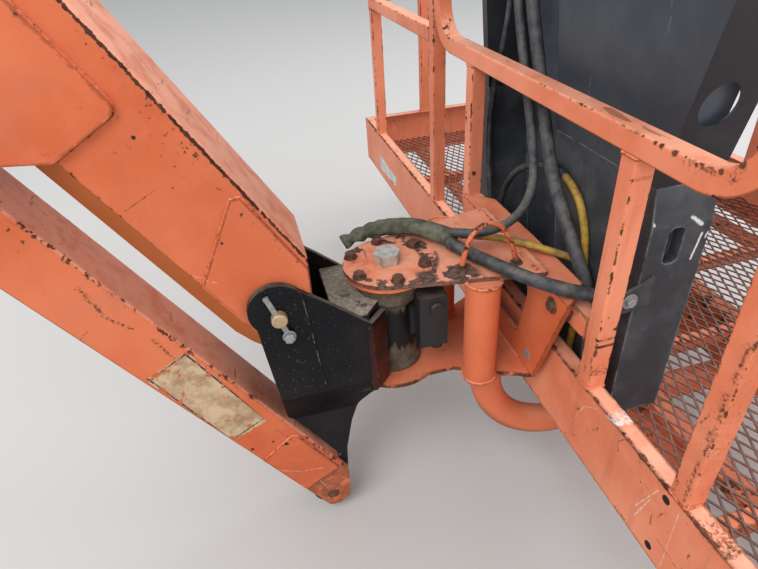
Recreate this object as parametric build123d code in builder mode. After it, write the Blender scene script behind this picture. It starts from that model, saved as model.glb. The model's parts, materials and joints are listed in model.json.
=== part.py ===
from build123d import *
from math import cos, hypot, radians, sin, tan
import os

os.makedirs("parts", exist_ok=True)

# Jib and work platform of a telescopic boom lift, in millimetres, as it is stowed:
# the jib hangs down at its lowest angle and the platform stands level.
# +X runs from the boom nose to the platform, +Z is up, and Y = 0 is the plane of the jib.
# The origin is the axis of the boom nose pivot, in the middle of the base bracket.

# Fits
running = 0.05          # radial gap of a pin turning in its bore
seat = 0.3              # gap between parts that are bolted or welded together
side_gap = 1.0          # gap beside a turning boss
sweep_gap = 5.0         # gap beside plates that swing past each other

# Jib geometry
jib_slope = 60.0        # stowed angle below level, degrees
jib_length = 1600.0     # pivot to pivot, both arms
arm_base_x = 220.0      # upper arm pivot from the nose pivot
arm_base_z = 160.0
link_offset_x = 39.0    # lower link pivots from the upper arm pivots
link_offset_z = -536.0
cylinder_offset_x = 17.0    # jib cylinder's base pivot from the upper arm pivot
cylinder_offset_z = -287.0
lug_station = 1080.0    # rod pin along the arm and below its axis
lug_drop = 128.0

# Upper arm
arm_width = 152.4
arm_top = 96.5          # above and below the line of its pivots
arm_bottom = 92.5
arm_chamfer = 41.0
arm_corner = 9.0
arm_pin_r = 19.0
arm_boss_r = 38.0
end_pin_r = 12.7
end_plate = 5.0         # doubler beside the end pivot
lug_plate = 8.0         # rod lugs on the arm's sides
lug_r = 38.0
rod_pin_r = 12.7

# Lower link
link_size = 101.6
link_rise = 20.0        # its centreline above the line of its pivots
link_corner = 7.0
link_wall = 12.3
link_boss_r = 32.0
link_pin_r = 16.0
link_end_pin_r = 12.7
link_end_r = 38.0
link_doubler = 4.0
slot_length = 75.0      # fork at the link's end

# Base bracket
base_plate = 16.0
nose_bore_r = 25.4
nose_tube_r = 44.0
level_bore_r = 19.1
level_x = 4.0           # level cylinder's pin
level_z = -290.0
pin_cap = 6.0

# Jib cylinder
barrel_r = 28.6
barrel_bore_r = 24.0
rod_show = 78.0         # from the barrel's end to the rod's eye, closed
rod_r = 16.0
rod_tail = 160.0
eye_r = 26.0
eye_width = 50.0
eye_gap = 0.3

# End bracket between the jib and the rotator
fork_plate = 10.0
fork_out = 92.0         # outer face of its side plates at the arm
tang_out = 37.4         # and at the link
bend_top = -184.0       # heights where the side plates bend, from the arm's end pivot
bend_bottom = -294.0
fork_lug_r = 47.0
fork_web_x = 93.0
return_out = 60.0       # front edges of the bracket beside the rotator

# Rotator, from the arm's end pivot
swing_dx = 205.0
platform_dx = 459.0     # platform's near face
platform_dz = -294.0    # platform's underside
top_plate_z = 297.0     # heights from here on are from the platform's underside
top_plate = 8.0
top_plate_r = 80.0
bottom_plate_z = 77.0
bottom_plate = 8.0
bottom_plate_r = 88.0
bottom_neck = 74.0      # half width of the plate between the fork's sides
neck_length = 100.0
housing_r = 48.0
housing_foot_r = 54.0
collar_r = 60.0
shaft_r = 30.0
flange_r = 77.0
flange_drop = 21.0
bolt_circle = 136.0
centre_hex = 42.0
centre_hex_height = 20.0

# Platform support
mount_x = -24.0         # front face of the mounting plate, from the platform's near face
mount_plate = 10.0
mount_low = 140.0       # half widths at its foot and at its bend
mount_high = 216.0
mount_flange = 32.0
pipe_r = 30.15
pipe_x = -115.0
pipe_y = 104.0
elbow_x = -94.0
elbow_y = 90.0
elbow_bend = 185.0
beam_x = (200.0, 520.0)
beam_y = 360.0

# Platform
length = 2438.4
depth = 914.4
rail_height = 1100.0
tube = 31.75
tube_corner = 4.0
corner_bend = 159.0     # centreline radius of the rails round the corners
mid_rail_top = 578.0
u_bend = 84.0
toe_height = 152.4
toe_flange = 28.0
toe_wall = 3.0
low_rail_top = 271.0
low_rail_height = 38.0
post_y = (1044.0, 479.0, 253.0)     # end, inner and centre posts, both sides
gate_half = 346.0
gate_tube = 25.4
gate_foot = 190.0
gate_gap = 10.0
gate_pin_r = 6.0
deck_z = 46.0
deck = 3.0
last_bar_margin = 114.4     # the last long bar's line from the far edge
long_bar_x = (200.0, 520.0, depth - last_bar_margin)
cap_drop = 54.0         # from the rotator's top plate to the bracket's cap
switch_x = 330.0
switch_y = 120.0
cross_bar_y = (117.0, 480.0, 840.0)
gate_stop_z = 760.0

# Console: it widens upwards, and its left half is a recess for the hoses
panel_x = 66.0
panel_wall = 3.0
console_mid = 40.0
console_half = 280.0    # half width at the foot's top
console_flare = 0.195   # growth of the half width with height
console_depth = 100.0
console_foot = 483.0
foot_half_y = 290.0
console_top = 985.0
recess_width = 300.0
recess_depth = 117.0
recess_lip = 22.0
box_height = 130.0

# Hoses and their guide
guide_r = 4.5

# Points of the jib and the main frames
rest = radians(jib_slope)
along = Vector(cos(rest), 0, -sin(rest))
upward = Vector(sin(rest), 0, cos(rest))
arm_base = Vector(arm_base_x, 0, arm_base_z)
arm_end = arm_base + along * jib_length
link_base = arm_base + Vector(link_offset_x, 0, link_offset_z)
link_end = link_base + along * jib_length
cylinder_base = arm_base + Vector(cylinder_offset_x, 0, cylinder_offset_z)
rod_point = arm_base + along * lug_station - upward * lug_drop
closed_length = (rod_point - cylinder_base).length
swing_x = arm_end.X + swing_dx
near_x = arm_end.X + platform_dx
far_x = near_x + depth
floor_z = arm_end.Z + platform_dz
barrel_length = closed_length - rod_show


def side_plane(point):
    """Side view on the jib, x along the arms and y square to them."""
    return Plane(origin=point, x_dir=along, z_dir=(0, -1, 0))


def section_plane(point):
    """Cross-section of the arms, x across and y square to them."""
    return Plane(origin=point, x_dir=(0, 1, 0), z_dir=along)


def level_plane(height):
    """Plan view at a height above the platform's underside."""
    return Plane(origin=(0, 0, floor_z + height))


def side_view(x=0.0, z=0.0):
    """Side view in level axes with its origin at a point of the plane Y = 0."""
    return Plane(origin=(x, 0, z), x_dir=(1, 0, 0), z_dir=(0, -1, 0))


def save(builder, name):
    builder.part.label = name
    export_step(builder.part, f"parts/{name}.step")


# Base bracket: two plates that hold the nose pivot, both arms and the jib cylinder
base_inner = arm_width / 2 + lug_plate + side_gap / 2
base_outer = base_inner + base_plate
base_lugs = (           # x, z, radius of each lug
    (0.0, 0.0, 62.0),
    (arm_base.X, arm_base.Z, 62.0),
    (link_base.X, link_base.Z, 56.0),
    (level_x, level_z, 48.0),
)
with BuildPart() as base_plates:
    with BuildSketch(side_view()):
        for x, z, r in base_lugs:
            with Locations((x, z)):
                Circle(r)
        make_hull()
        with Locations((105.0, -195.0)):
            Circle(46.0, mode=Mode.SUBTRACT)
        for point, r in (
            (Vector(0, 0, 0), nose_tube_r + seat),
            (arm_base, arm_pin_r + running),
            (link_base, link_pin_r + running),
            (cylinder_base, rod_pin_r + running),
            (Vector(level_x, 0, level_z), level_bore_r),
        ):
            with Locations((point.X, point.Z)):
                Circle(r, mode=Mode.SUBTRACT)
    extrude(amount=base_outer, both=True)
    with BuildSketch(side_view()):
        Rectangle(4 * jib_length, 4 * jib_length)
    extrude(amount=base_inner, both=True, mode=Mode.SUBTRACT)
save(base_plates, "base_plates")

with BuildPart() as nose_tube:
    with BuildSketch(side_view()):
        Circle(nose_tube_r)
        Circle(nose_bore_r, mode=Mode.SUBTRACT)
    extrude(amount=base_outer, both=True)
save(nose_tube, "nose_tube")

with BuildPart() as base_web:
    with BuildSketch(side_view()):
        with Locations((64.0, -150.0)):
            Rectangle(12.0, 190.0)
        with Locations((64.0, -245.0)):
            Rectangle(60.0, 12.0)
    extrude(amount=base_inner - seat, both=True)
save(base_web, "base_web")

with BuildPart() as base_pins:
    for point, r, head in ((arm_base, arm_pin_r, 32.0), (link_base, link_pin_r, 28.0)):
        with BuildSketch(side_view(point.X, point.Z)):
            Circle(r)
        extrude(amount=base_outer + seat, both=True)
        for sign in (-1, 1):
            with BuildSketch(side_view(point.X, point.Z).offset(sign * (base_outer + seat))):
                Circle(head)
            extrude(amount=sign * pin_cap)
save(base_pins, "base_pins")

with BuildPart() as cylinder_pin:
    with BuildSketch(side_view(cylinder_base.X, cylinder_base.Z)):
        Circle(rod_pin_r)
    extrude(amount=base_outer + seat, both=True)
    for sign in (-1, 1):
        eye_side = sign * (eye_width / 2 + eye_gap)
        with BuildSketch(side_view(cylinder_base.X, cylinder_base.Z).offset(eye_side)):
            Circle(22.0)
        extrude(amount=sign * (base_inner - seat - eye_width / 2 - eye_gap))
        with BuildSketch(side_view(cylinder_base.X, cylinder_base.Z).offset(sign * (base_outer + seat))):
            Circle(24.0)
        extrude(amount=sign * pin_cap)
save(cylinder_pin, "cylinder_base_pin")

# Upper arm: box with chamfered lower edges, its ends trimmed to turn about their pins
arm_far = jib_length
with BuildPart() as upper_arm:
    with BuildSketch(section_plane(arm_base - along * 120.0)):
        with Locations((0, (arm_top - arm_bottom) / 2)):
            Rectangle(arm_width, arm_top + arm_bottom)
        chamfer(vertices().group_by(Axis.Y)[0], arm_chamfer)
        fillet(vertices().group_by(Axis.Y)[-1], arm_corner)
    extrude(amount=jib_length + 300.0)
    with BuildSketch(side_plane(arm_base)):
        with BuildLine():
            Polyline(
                (-52.0, arm_top + 5), (-78.0, 30.0), (-78.0, -40.0), (-40.0, -arm_bottom - 5),
                (arm_far - 3.0, -arm_bottom - 5), (arm_far + 40.0, -81.0), (arm_far + 74.5, -43.0),
                (arm_far + 81.5, 21.0), (arm_far - 55.5, arm_top + 5), close=True,
            )
        make_face()
    extrude(amount=arm_width, both=True, mode=Mode.INTERSECT)
    with BuildSketch(side_plane(arm_base)):
        Circle(arm_boss_r)
    extrude(amount=base_inner - side_gap / 2, both=True)
    for sign in (-1, 1):
        with BuildSketch(side_plane(arm_end).offset(sign * (arm_width / 2 - end_plate))):
            with BuildLine():
                Polyline(
                    (-185.0, 84.0), (-191.0, 72.0), (-112.0, -49.0), (68.0, -49.0),
                    (78.0, 20.0), (-30.0, 84.0), close=True,
                )
            make_face()
        extrude(amount=sign * 2 * end_plate)
    with BuildSketch(side_plane(arm_base)):
        Circle(arm_pin_r + running)
        with Locations((jib_length, 0)):
            Circle(end_pin_r + running)
    extrude(amount=arm_width, both=True, mode=Mode.SUBTRACT)
save(upper_arm, "upper_arm")

rod_lug_corners = (     # along from the rod pin, above the arm's axis, and radius
    (141.0, 38.0, 14.0), (141.0, -48.0, 14.0), (88.0, -122.0, 14.0),
    (-88.0, -122.0, 14.0), (-141.0, -48.0, 14.0), (-141.0, 38.0, 14.0), (0.0, -lug_drop, lug_r),
)
with BuildPart() as rod_lugs:
    for sign in (-1, 1):
        with BuildSketch(side_plane(arm_base + along * lug_station).offset(sign * arm_width / 2)):
            for s, p, r in rod_lug_corners:
                with Locations((s, p)):
                    Circle(r)
            make_hull()
            with Locations((0, -lug_drop)):
                Circle(rod_pin_r + running, mode=Mode.SUBTRACT)
        extrude(amount=sign * lug_plate)
save(rod_lugs, "rod_lugs")

# The rod pin is two stubs, one in each lug, so that the rod's eye can leave it
with BuildPart() as rod_pins:
    for sign in (-1, 1):
        with BuildSketch(side_plane(rod_point).offset(sign * (eye_width / 2 + eye_gap))):
            Circle(rod_pin_r)
        extrude(amount=sign * (arm_width / 2 + lug_plate + seat - eye_width / 2 - eye_gap))
        with BuildSketch(side_plane(rod_point).offset(sign * (arm_width / 2 + lug_plate + seat))):
            Circle(22.0)
        extrude(amount=sign * pin_cap)
        with BuildSketch(side_plane(rod_point).offset(sign * (eye_width / 2 + eye_gap))):
            Circle(20.0)
        extrude(amount=sign * (arm_width / 2 - seat - eye_width / 2 - eye_gap))
save(rod_pins, "rod_pins")

# Lower link: square tube, forked at its end, with a doubler on each side
with BuildPart() as lower_link:
    with BuildSketch(section_plane(link_base - along * 30.0)):
        with Locations((0, link_rise)):
            RectangleRounded(link_size, link_size, link_corner)
    extrude(amount=jib_length + 100.0)
    link_top = link_rise + link_size / 2
    link_low = link_rise - link_size / 2
    with BuildSketch(side_plane(link_end)):
        with BuildLine():
            Polyline(
                (-jib_length - 60.0, link_low - 5), (-42.0, link_low - 5), (-8.0, -37.0), (20.0, -30.0),
                (34.0, 17.0), (22.0, 31.0), (-42.0, link_top + 1), (-50.0, link_top + 5),
                (-jib_length - 60.0, link_top + 5), close=True,
            )
        make_face()
        Circle(link_end_r)
    extrude(amount=link_size, both=True, mode=Mode.INTERSECT)
    with BuildSketch(side_plane(link_base)):
        Circle(link_boss_r)
    extrude(amount=base_inner - side_gap / 2, both=True)
    with BuildSketch(side_plane(link_end)):
        with Locations((100.0 - slot_length, 0)):
            Rectangle(200.0, 2 * link_size + 60.0)
    extrude(amount=link_size / 2 - link_wall, both=True, mode=Mode.SUBTRACT)
    for sign in (-1, 1):
        with BuildSketch(side_plane(link_end).offset(sign * (link_size / 2 - link_doubler))):
            with BuildLine():
                Polyline(
                    (-206.0, 61.0), (-214.0, 54.0), (-203.0, -24.0), (-66.0, -24.0), (-66.0, 61.0),
                    close=True,
                )
            make_face()
        extrude(amount=sign * 2 * link_doubler)
    with BuildSketch(side_plane(link_base)):
        Circle(link_pin_r + running)
        with Locations((jib_length, 0)):
            Circle(link_end_pin_r + running)
    extrude(amount=link_size, both=True, mode=Mode.SUBTRACT)
save(lower_link, "lower_link")

with BuildPart() as link_end_pin:
    with BuildSketch(side_plane(link_end)):
        Circle(link_end_pin_r)
    extrude(amount=link_size / 2 + 1.0, both=True)
save(link_end_pin, "link_end_pin")

# Jib cylinder: barrel turning on its base pin, rod with its eye
cylinder_line = (rod_point - cylinder_base).normalized()
barrel_plane = Plane(origin=cylinder_base, x_dir=cylinder_line, z_dir=(0, -1, 0))
bore_plane = Plane(origin=cylinder_base, x_dir=(0, 1, 0), z_dir=cylinder_line)
with BuildPart() as barrel:
    with BuildSketch(bore_plane.offset(28.0)):
        Circle(barrel_r)
    extrude(amount=barrel_length - 28.0)
    with BuildSketch(barrel_plane):
        Circle(eye_r)
    extrude(amount=eye_width / 2, both=True)
    with BuildSketch(bore_plane.offset(60.0)):
        Circle(barrel_bore_r)
    extrude(amount=barrel_length - 100.0, mode=Mode.SUBTRACT)
    with BuildSketch(bore_plane.offset(60.0)):
        Circle(rod_r + running)
    extrude(amount=barrel_length, mode=Mode.SUBTRACT)
    with BuildSketch(barrel_plane):
        Circle(rod_pin_r + running)
    extrude(amount=eye_width, both=True, mode=Mode.SUBTRACT)
save(barrel, "cylinder_barrel")

with BuildPart() as rod:
    with BuildSketch(bore_plane.offset(rod_tail)):
        Circle(rod_r)
    extrude(amount=closed_length - rod_tail - 10.0)
    with BuildSketch(bore_plane.offset(rod_tail)):
        Circle(barrel_bore_r - running)
    extrude(amount=30.0)
    with BuildSketch(barrel_plane):
        with Locations((closed_length, 0)):
            Circle(eye_r)
    extrude(amount=eye_width / 2, both=True)
    with BuildSketch(barrel_plane):
        with Locations((closed_length, 0)):
            Circle(rod_pin_r + running)
    extrude(amount=eye_width, both=True, mode=Mode.SUBTRACT)
save(rod, "cylinder_rod")

# End bracket: bent side plates from the arm's end pivot down to the link's
fork_outline = (        # x and z from the arm's end pivot
    (-38.0, 22.0), (39.0, 38.0), (88.0, -2.0), (147.0, -54.0), (147.0, -93.0), (152.0, -173.0),
    (163.0, -212.0), (122.0, -280.0), (102.0, -334.0), (85.0, -411.0), (81.0, -470.0),
    (79.0, link_offset_z), (link_offset_x - 40.0, link_offset_z), (1.0, -477.0), (70.0, -432.0),
    (56.0, -408.0),
    (-21.0, -274.0), (-25.0, -170.0), (-35.0, -50.0),
)
fork_side = side_view(arm_end.X, arm_end.Z)
fork_front = Plane(origin=arm_end, x_dir=(0, 1, 0), z_dir=(1, 0, 0))
bend_lean = (fork_out - tang_out) / (bend_top - bend_bottom)
fork_y = fork_out - (bend_top - platform_dz - bottom_plate_z) * bend_lean
scallop_r = hypot(bottom_neck + sweep_gap, fork_y + sweep_gap)
fork_inner = fork_out - fork_plate
tang_inner = tang_out - fork_plate
with BuildPart() as fork_plates:
    for sign in (-1, 1):
        with BuildSketch(fork_front):
            with BuildLine():
                Polyline(
                    (sign * fork_out, 80.0), (sign * fork_out, bend_top),
                    (sign * tang_out, bend_bottom), (sign * tang_out, -600.0),
                    (sign * tang_inner, -600.0), (sign * tang_inner, bend_bottom + 2),
                    (sign * fork_inner, bend_top + 2), (sign * fork_inner, 80.0), close=True,
                )
            make_face()
        extrude(amount=200.0, both=True)
    with BuildSketch(fork_side):
        Polygon(*fork_outline, align=None)
        with Locations((0, 11.0)):
            Circle(fork_lug_r)
        with Locations((link_offset_x, link_offset_z)):
            Circle(40.0)
    extrude(amount=150.0, both=True, mode=Mode.INTERSECT)
    for sign in (-1, 1):
        with BuildSketch(level_plane(-platform_dz - 215.0)):
            with BuildLine():
                lip = fork_plate * 0.7
                Polyline(
                    (arm_end.X + 138.0, sign * fork_out), (arm_end.X + 150.0, sign * fork_out),
                    (arm_end.X + 182.0, sign * return_out),
                    (arm_end.X + 182.0 - lip, sign * (return_out - lip)),
                    (arm_end.X + 146.0, sign * fork_inner), (arm_end.X + 138.0, sign * fork_inner),
                    close=True,
                )
            make_face()
        extrude(amount=160.0)
    with BuildSketch(fork_side):
        Circle(end_pin_r + running)
        with Locations((link_offset_x, link_offset_z)):
            Circle(link_end_pin_r + running)
    extrude(amount=150.0, both=True, mode=Mode.SUBTRACT)
    with BuildSketch(level_plane(bottom_plate_z - bottom_plate - sweep_gap)):
        with Locations((swing_x, 0)):
            Circle(scallop_r)
    extrude(amount=bottom_plate + 2 * sweep_gap, mode=Mode.SUBTRACT)
save(fork_plates, "fork_plates")

cap_y = fork_inner - seat
cap_z = top_plate_z - cap_drop
shelf_z = bend_top + 2.0 - fork_plate - platform_dz
with BuildPart() as fork_shelves:
    for height, hole, reach_y in (
        (cap_z, collar_r + seat, cap_y),
        (shelf_z, housing_r + seat, cap_y - fork_plate * bend_lean - seat),
    ):
        with BuildSketch(level_plane(height)):
            with BuildLine():
                Polyline(
                    (arm_end.X + fork_web_x, reach_y), (arm_end.X + 144.0, reach_y),
                    (arm_end.X + 172.0, return_out - 10.0), (arm_end.X + 172.0, 10.0 - return_out),
                    (arm_end.X + 144.0, -reach_y), (arm_end.X + fork_web_x, -reach_y), close=True,
                )
            make_face()
            with Locations((swing_x, 0)):
                Circle(hole, mode=Mode.SUBTRACT)
        extrude(amount=fork_plate)
save(fork_shelves, "fork_shelves")

with BuildPart() as fork_web:
    with BuildSketch(level_plane(shelf_z + fork_plate + seat)):
        with Locations((arm_end.X + fork_web_x + 5.0, 0)):
            Rectangle(10.0, 2 * cap_y)
    extrude(amount=cap_z - shelf_z - fork_plate - 2 * seat)
save(fork_web, "fork_web")

with BuildPart() as arm_end_pin:
    with BuildSketch(fork_side):
        Circle(end_pin_r)
    extrude(amount=fork_out + 12.0, both=True)
    with BuildSketch(fork_side.offset(fork_out + seat)):
        with BuildLine():
            Polyline((-38.0, 24.0), (-30.0, 32.0), (33.0, -24.0), (25.0, -32.0), close=True)
        make_face()
        Circle(16.0)
    extrude(amount=5.0)
save(arm_end_pin, "arm_end_pin")

# Rotator: housing welded into the bracket, shaft and flange turning with the platform
collar_z = top_plate_z - top_plate - flange_drop - 2.0
with BuildPart() as housing:
    with BuildSketch(side_view(swing_x, floor_z)):
        with BuildLine():
            Polyline(
                (shaft_r + running, bottom_plate_z + 2), (housing_foot_r, bottom_plate_z + 2),
                (housing_foot_r, bottom_plate_z + 10.0), (housing_r, bottom_plate_z + 15.0),
                (housing_r, collar_z - 40.0), (collar_r, collar_z - 26.0), (collar_r, collar_z),
                (shaft_r + running, collar_z), close=True,
            )
        make_face()
    revolve(axis=Axis((swing_x, 0, 0), (0, 0, 1)))
save(housing, "rotator_housing")

with BuildPart() as rotator_shaft:
    with BuildSketch(side_view(swing_x, floor_z)):
        with BuildLine():
            flange_top = top_plate_z - top_plate
            Polyline(
                (0, bottom_plate_z), (shaft_r, bottom_plate_z), (shaft_r, flange_top - flange_drop),
                (collar_r + 2, flange_top - flange_drop), (flange_r - 3, flange_top - 10),
                (flange_r, flange_top - 9),
                (flange_r, flange_top), (0, flange_top), close=True,
            )
        make_face()
    revolve(axis=Axis((swing_x, 0, 0), (0, 0, 1)))
save(rotator_shaft, "rotator_shaft")

with BuildPart() as valve_block:
    with BuildSketch(level_plane(150.0)):
        with Locations((swing_x + 58.0, -62.0)):
            Rectangle(52.0, 42.0)
    extrude(amount=108.0)
    with BuildSketch(level_plane(165.0)):
        with Locations((swing_x + 38.0, -40.0)):
            Rectangle(30.0, 30.0)
    extrude(amount=60.0)
    with BuildSketch(level_plane(132.0)):
        with Locations((swing_x + 70.0, -62.0)):
            Circle(11.0)
    extrude(amount=18.0)
    with BuildSketch(Plane(origin=(swing_x + 64.0, -83.0, floor_z + 232.0), z_dir=(0, -1, 0))):
        Circle(13.0)
    extrude(amount=7.0)
    with BuildSketch(level_plane(150.0)):
        with Locations((swing_x, 0)):
            Circle(housing_r + seat)
    extrude(amount=76.0, mode=Mode.SUBTRACT)
    with BuildSketch(level_plane(226.0)):
        with Locations((swing_x, 0)):
            Circle(collar_r + seat)
    extrude(amount=40.0, mode=Mode.SUBTRACT)
save(valve_block, "valve_block")

plate_reach = near_x - 8.0
with BuildPart() as rotator_top:
    with BuildSketch(level_plane(top_plate_z - top_plate)):
        with Locations((swing_x, 0)):
            Circle(top_plate_r)
        with Locations((plate_reach - 6.0, 122.0), (plate_reach - 6.0, -122.0)):
            Circle(6.0)
        make_hull()
    extrude(amount=top_plate)
save(rotator_top, "rotator_top_plate")

with BuildPart() as rotator_bolts:
    with BuildSketch(level_plane(top_plate_z)):
        with Locations((swing_x, 0)):
            with PolarLocations(bolt_circle / 2, 6, start_angle=30):
                Circle(12.0)
    extrude(amount=2.5)
    with BuildSketch(level_plane(top_plate_z + 2.5)):
        with Locations((swing_x, 0)):
            with PolarLocations(bolt_circle / 2, 6, start_angle=30):
                RegularPolygon(9.0, 6, major_radius=False)
    extrude(amount=7.5)
    with BuildSketch(level_plane(top_plate_z)):
        with Locations((swing_x, 0)):
            RegularPolygon(centre_hex / 2, 6, major_radius=False)
    extrude(amount=centre_hex_height)
save(rotator_bolts, "rotator_bolts")

with BuildPart() as rotator_bottom:
    with BuildSketch(level_plane(bottom_plate_z - bottom_plate)):
        with BuildLine():
            Polyline(
                (swing_x, bottom_neck), (swing_x + neck_length, bottom_neck),
                (near_x + mount_x - seat, mount_low), (near_x + mount_x - seat, -mount_low),
                (swing_x + neck_length, -bottom_neck), (swing_x, -bottom_neck), close=True,
            )
        make_face()
        with Locations((swing_x, 0)):
            Circle(bottom_plate_r)
    extrude(amount=bottom_plate)
save(rotator_bottom, "rotator_bottom_plate")

# Support: bent plate bolted to the platform, two posts of pipe and the elbows under the floor
flange_z = top_plate_z - top_plate
with BuildPart() as mount:
    with BuildSketch(Plane(origin=(near_x + mount_x, 0, floor_z), x_dir=(0, 1, 0), z_dir=(1, 0, 0))):
        with BuildLine():
            Polyline(
                (-mount_low, bottom_plate_z - bottom_plate), (mount_low, bottom_plate_z - bottom_plate),
                (mount_high, flange_z), (-mount_high, flange_z), close=True,
            )
        make_face()
        with BuildSketch(mode=Mode.SUBTRACT):
            with BuildLine():
                Polyline((-70.0, 124.0), (70.0, 124.0), (100.0, 258.0), (-100.0, 258.0), close=True)
            make_face()
            fillet(vertices(), 24.0)
    extrude(amount=mount_plate)
    with BuildSketch(level_plane(flange_z - mount_plate)):
        with BuildLine():
            Polyline(
                (near_x + mount_x, mount_high), (near_x, mount_high - 18.0),
                (near_x + mount_flange, mount_high - 50.0),
                (near_x + mount_flange, 50.0 - mount_high), (near_x, 18.0 - mount_high),
                (near_x + mount_x, -mount_high), close=True,
            )
        make_face()
    extrude(amount=mount_plate)
    bend = edges().filter_by(Axis.Y).sort_by(Axis.X)[:8].sort_by(Axis.Z)[-1]
    fillet(bend, mount_plate * 0.95)
save(mount, "mount_plate")

mount_bolts = (         # y, z and radius of the heads on the mounting plate
    (178.0, 250.0, 13.0), (-178.0, 250.0, 13.0), (118.0, 125.0, 13.0), (-118.0, 125.0, 13.0),
)
with BuildPart() as spacers:
    for y, z, r in mount_bolts:
        with BuildSketch(Plane(origin=(near_x - seat, y, floor_z + z), x_dir=(0, 1, 0), z_dir=(-1, 0, 0))):
            Circle(r + 6.0)
        extrude(amount=-mount_x - mount_plate - 2 * seat)
save(spacers, "mount_spacers")

run_z = bottom_plate_z - bottom_plate - 8.0 - elbow_bend
with BuildPart() as support_pipes:
    with BuildSketch(level_plane(bottom_plate_z)):
        with Locations((near_x + pipe_x, pipe_y), (near_x + pipe_x, -pipe_y)):
            Circle(pipe_r)
    extrude(amount=top_plate_z - top_plate - bottom_plate_z)
save(support_pipes, "support_pipes")

with BuildPart() as elbows:
    for sign in (-1, 1):
        with BuildLine() as elbow_path:
            FilletPolyline(
                (near_x + elbow_x, sign * elbow_y, floor_z + bottom_plate_z - bottom_plate),
                (near_x + elbow_x, sign * elbow_y, floor_z + run_z),
                (near_x + elbow_x + elbow_bend + 500.0, sign * elbow_y, floor_z + run_z),
                radius=elbow_bend,
            )
        with BuildSketch(Plane(origin=elbow_path.line @ 0, z_dir=(0, 0, -1))):
            Circle(pipe_r)
        sweep()
save(elbows, "support_elbows")

# Crossbeams stand on the elbows and carry the floor
with BuildPart() as beams:
    for x in beam_x:
        with BuildSketch(level_plane(run_z + pipe_r + seat)):
            with Locations((near_x + x, 0)):
                Rectangle(60.0, 2 * beam_y)
        extrude(amount=-seat - run_z - pipe_r - seat)
save(beams, "support_beams")

# Floor: toe boards, bars and deck
with BuildPart() as toe_boards:
    for x_face, inward in ((near_x, 1), (far_x, -1)):
        with BuildSketch(side_view(x_face, floor_z)):
            with BuildLine():
                Polyline(
                    (0, 0), (inward * toe_flange, 0), (inward * toe_flange, toe_wall),
                    (inward * toe_wall, toe_wall), (inward * toe_wall, toe_height - toe_wall),
                    (inward * toe_flange, toe_height - toe_wall), (inward * toe_flange, toe_height),
                    (0, toe_height), close=True,
                )
            make_face()
        extrude(amount=length / 2, both=True)
    for sign in (-1, 1):
        end_corner = (near_x + toe_flange + seat, sign * length / 2, floor_z)
        with BuildSketch(Plane(origin=end_corner, x_dir=(0, 1, 0), z_dir=(1, 0, 0))):
            with BuildLine():
                Polyline(
                    (0, 0), (-sign * toe_flange, 0), (-sign * toe_flange, toe_wall),
                    (-sign * toe_wall, toe_wall), (-sign * toe_wall, toe_height - toe_wall),
                    (-sign * toe_flange, toe_height - toe_wall), (-sign * toe_flange, toe_height),
                    (0, toe_height), close=True,
                )
            make_face()
        extrude(amount=depth - 2 * toe_flange - 2 * seat)
save(toe_boards, "toe_boards")

with BuildPart() as floor_bars:
    for x in long_bar_x:
        with BuildSketch(level_plane(0.0)):
            with Locations((near_x + x, 0)):
                Rectangle(40.0, length - 2 * toe_flange - 2 * seat)
        extrude(amount=20.0)
    for y in cross_bar_y:
        with BuildSketch(level_plane(20.0 + seat)):
            with Locations(((near_x + far_x) / 2, y), ((near_x + far_x) / 2, -y)):
                Rectangle(depth - 2 * toe_wall - 2 * seat, 25.0)
        extrude(amount=deck_z - 20.0 - 2 * seat)
save(floor_bars, "floor_bars")

with BuildPart() as floor_deck:
    with BuildSketch(level_plane(deck_z)):
        with Locations(((near_x + far_x) / 2, 0)):
            Rectangle(depth - 2 * toe_wall - 2 * seat, length - 2 * toe_wall - 2 * seat)
    extrude(amount=deck)
save(floor_deck, "floor_deck")

# Rails: each half of a rail is one tube bent round both corners of its end
rail_line = near_x + tube / 2
far_line = far_x - tube / 2
end_line = length / 2 - tube / 2
top_rail_z = rail_height - tube / 2
mid_rail_z = mid_rail_top - tube / 2
leg_y = post_y[1] - tube
for name, height, start, end in (
    ("top_rails", top_rail_z, leg_y - tube / 2, gate_half),
    ("mid_rails", mid_rail_z, post_y[1] + tube / 2 + seat, gate_half + tube / 2 + seat),
):
    with BuildPart() as rails:
        for sign in (-1, 1):
            with BuildLine() as rail_path:
                FilletPolyline(
                    (rail_line, sign * start, floor_z + height),
                    (rail_line, sign * end_line, floor_z + height),
                    (far_line, sign * end_line, floor_z + height),
                    (far_line, sign * end, floor_z + height),
                    radius=corner_bend,
                )
            with BuildSketch(Plane(origin=rail_path.line @ 0, z_dir=rail_path.line % 0)):
                RectangleRounded(tube, tube, tube_corner)
            sweep()
    save(rails, name)

with BuildPart() as u_rail:
    with BuildLine() as u_path:
        leg_top = rail_height - tube - seat
        FilletPolyline(
            (rail_line, leg_y, floor_z + leg_top),
            (rail_line, leg_y, floor_z + mid_rail_z),
            (rail_line, -leg_y, floor_z + mid_rail_z),
            (rail_line, -leg_y, floor_z + leg_top),
            radius=u_bend,
        )
    with BuildSketch(Plane(origin=u_path.line @ 0, z_dir=u_path.line % 0)):
        RectangleRounded(tube, tube, tube_corner)
    sweep()
save(u_rail, "u_rail")

low_rail_z = floor_z + low_rail_top - low_rail_height / 2
with BuildPart() as low_rail:
    with BuildSketch(Plane(origin=(near_x + tube / 2, 0, low_rail_z), z_dir=(0, 1, 0))):
        Rectangle(low_rail_height, tube)
    extrude(amount=post_y[2] - tube / 2 - seat, both=True)
save(low_rail, "low_rail")

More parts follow.
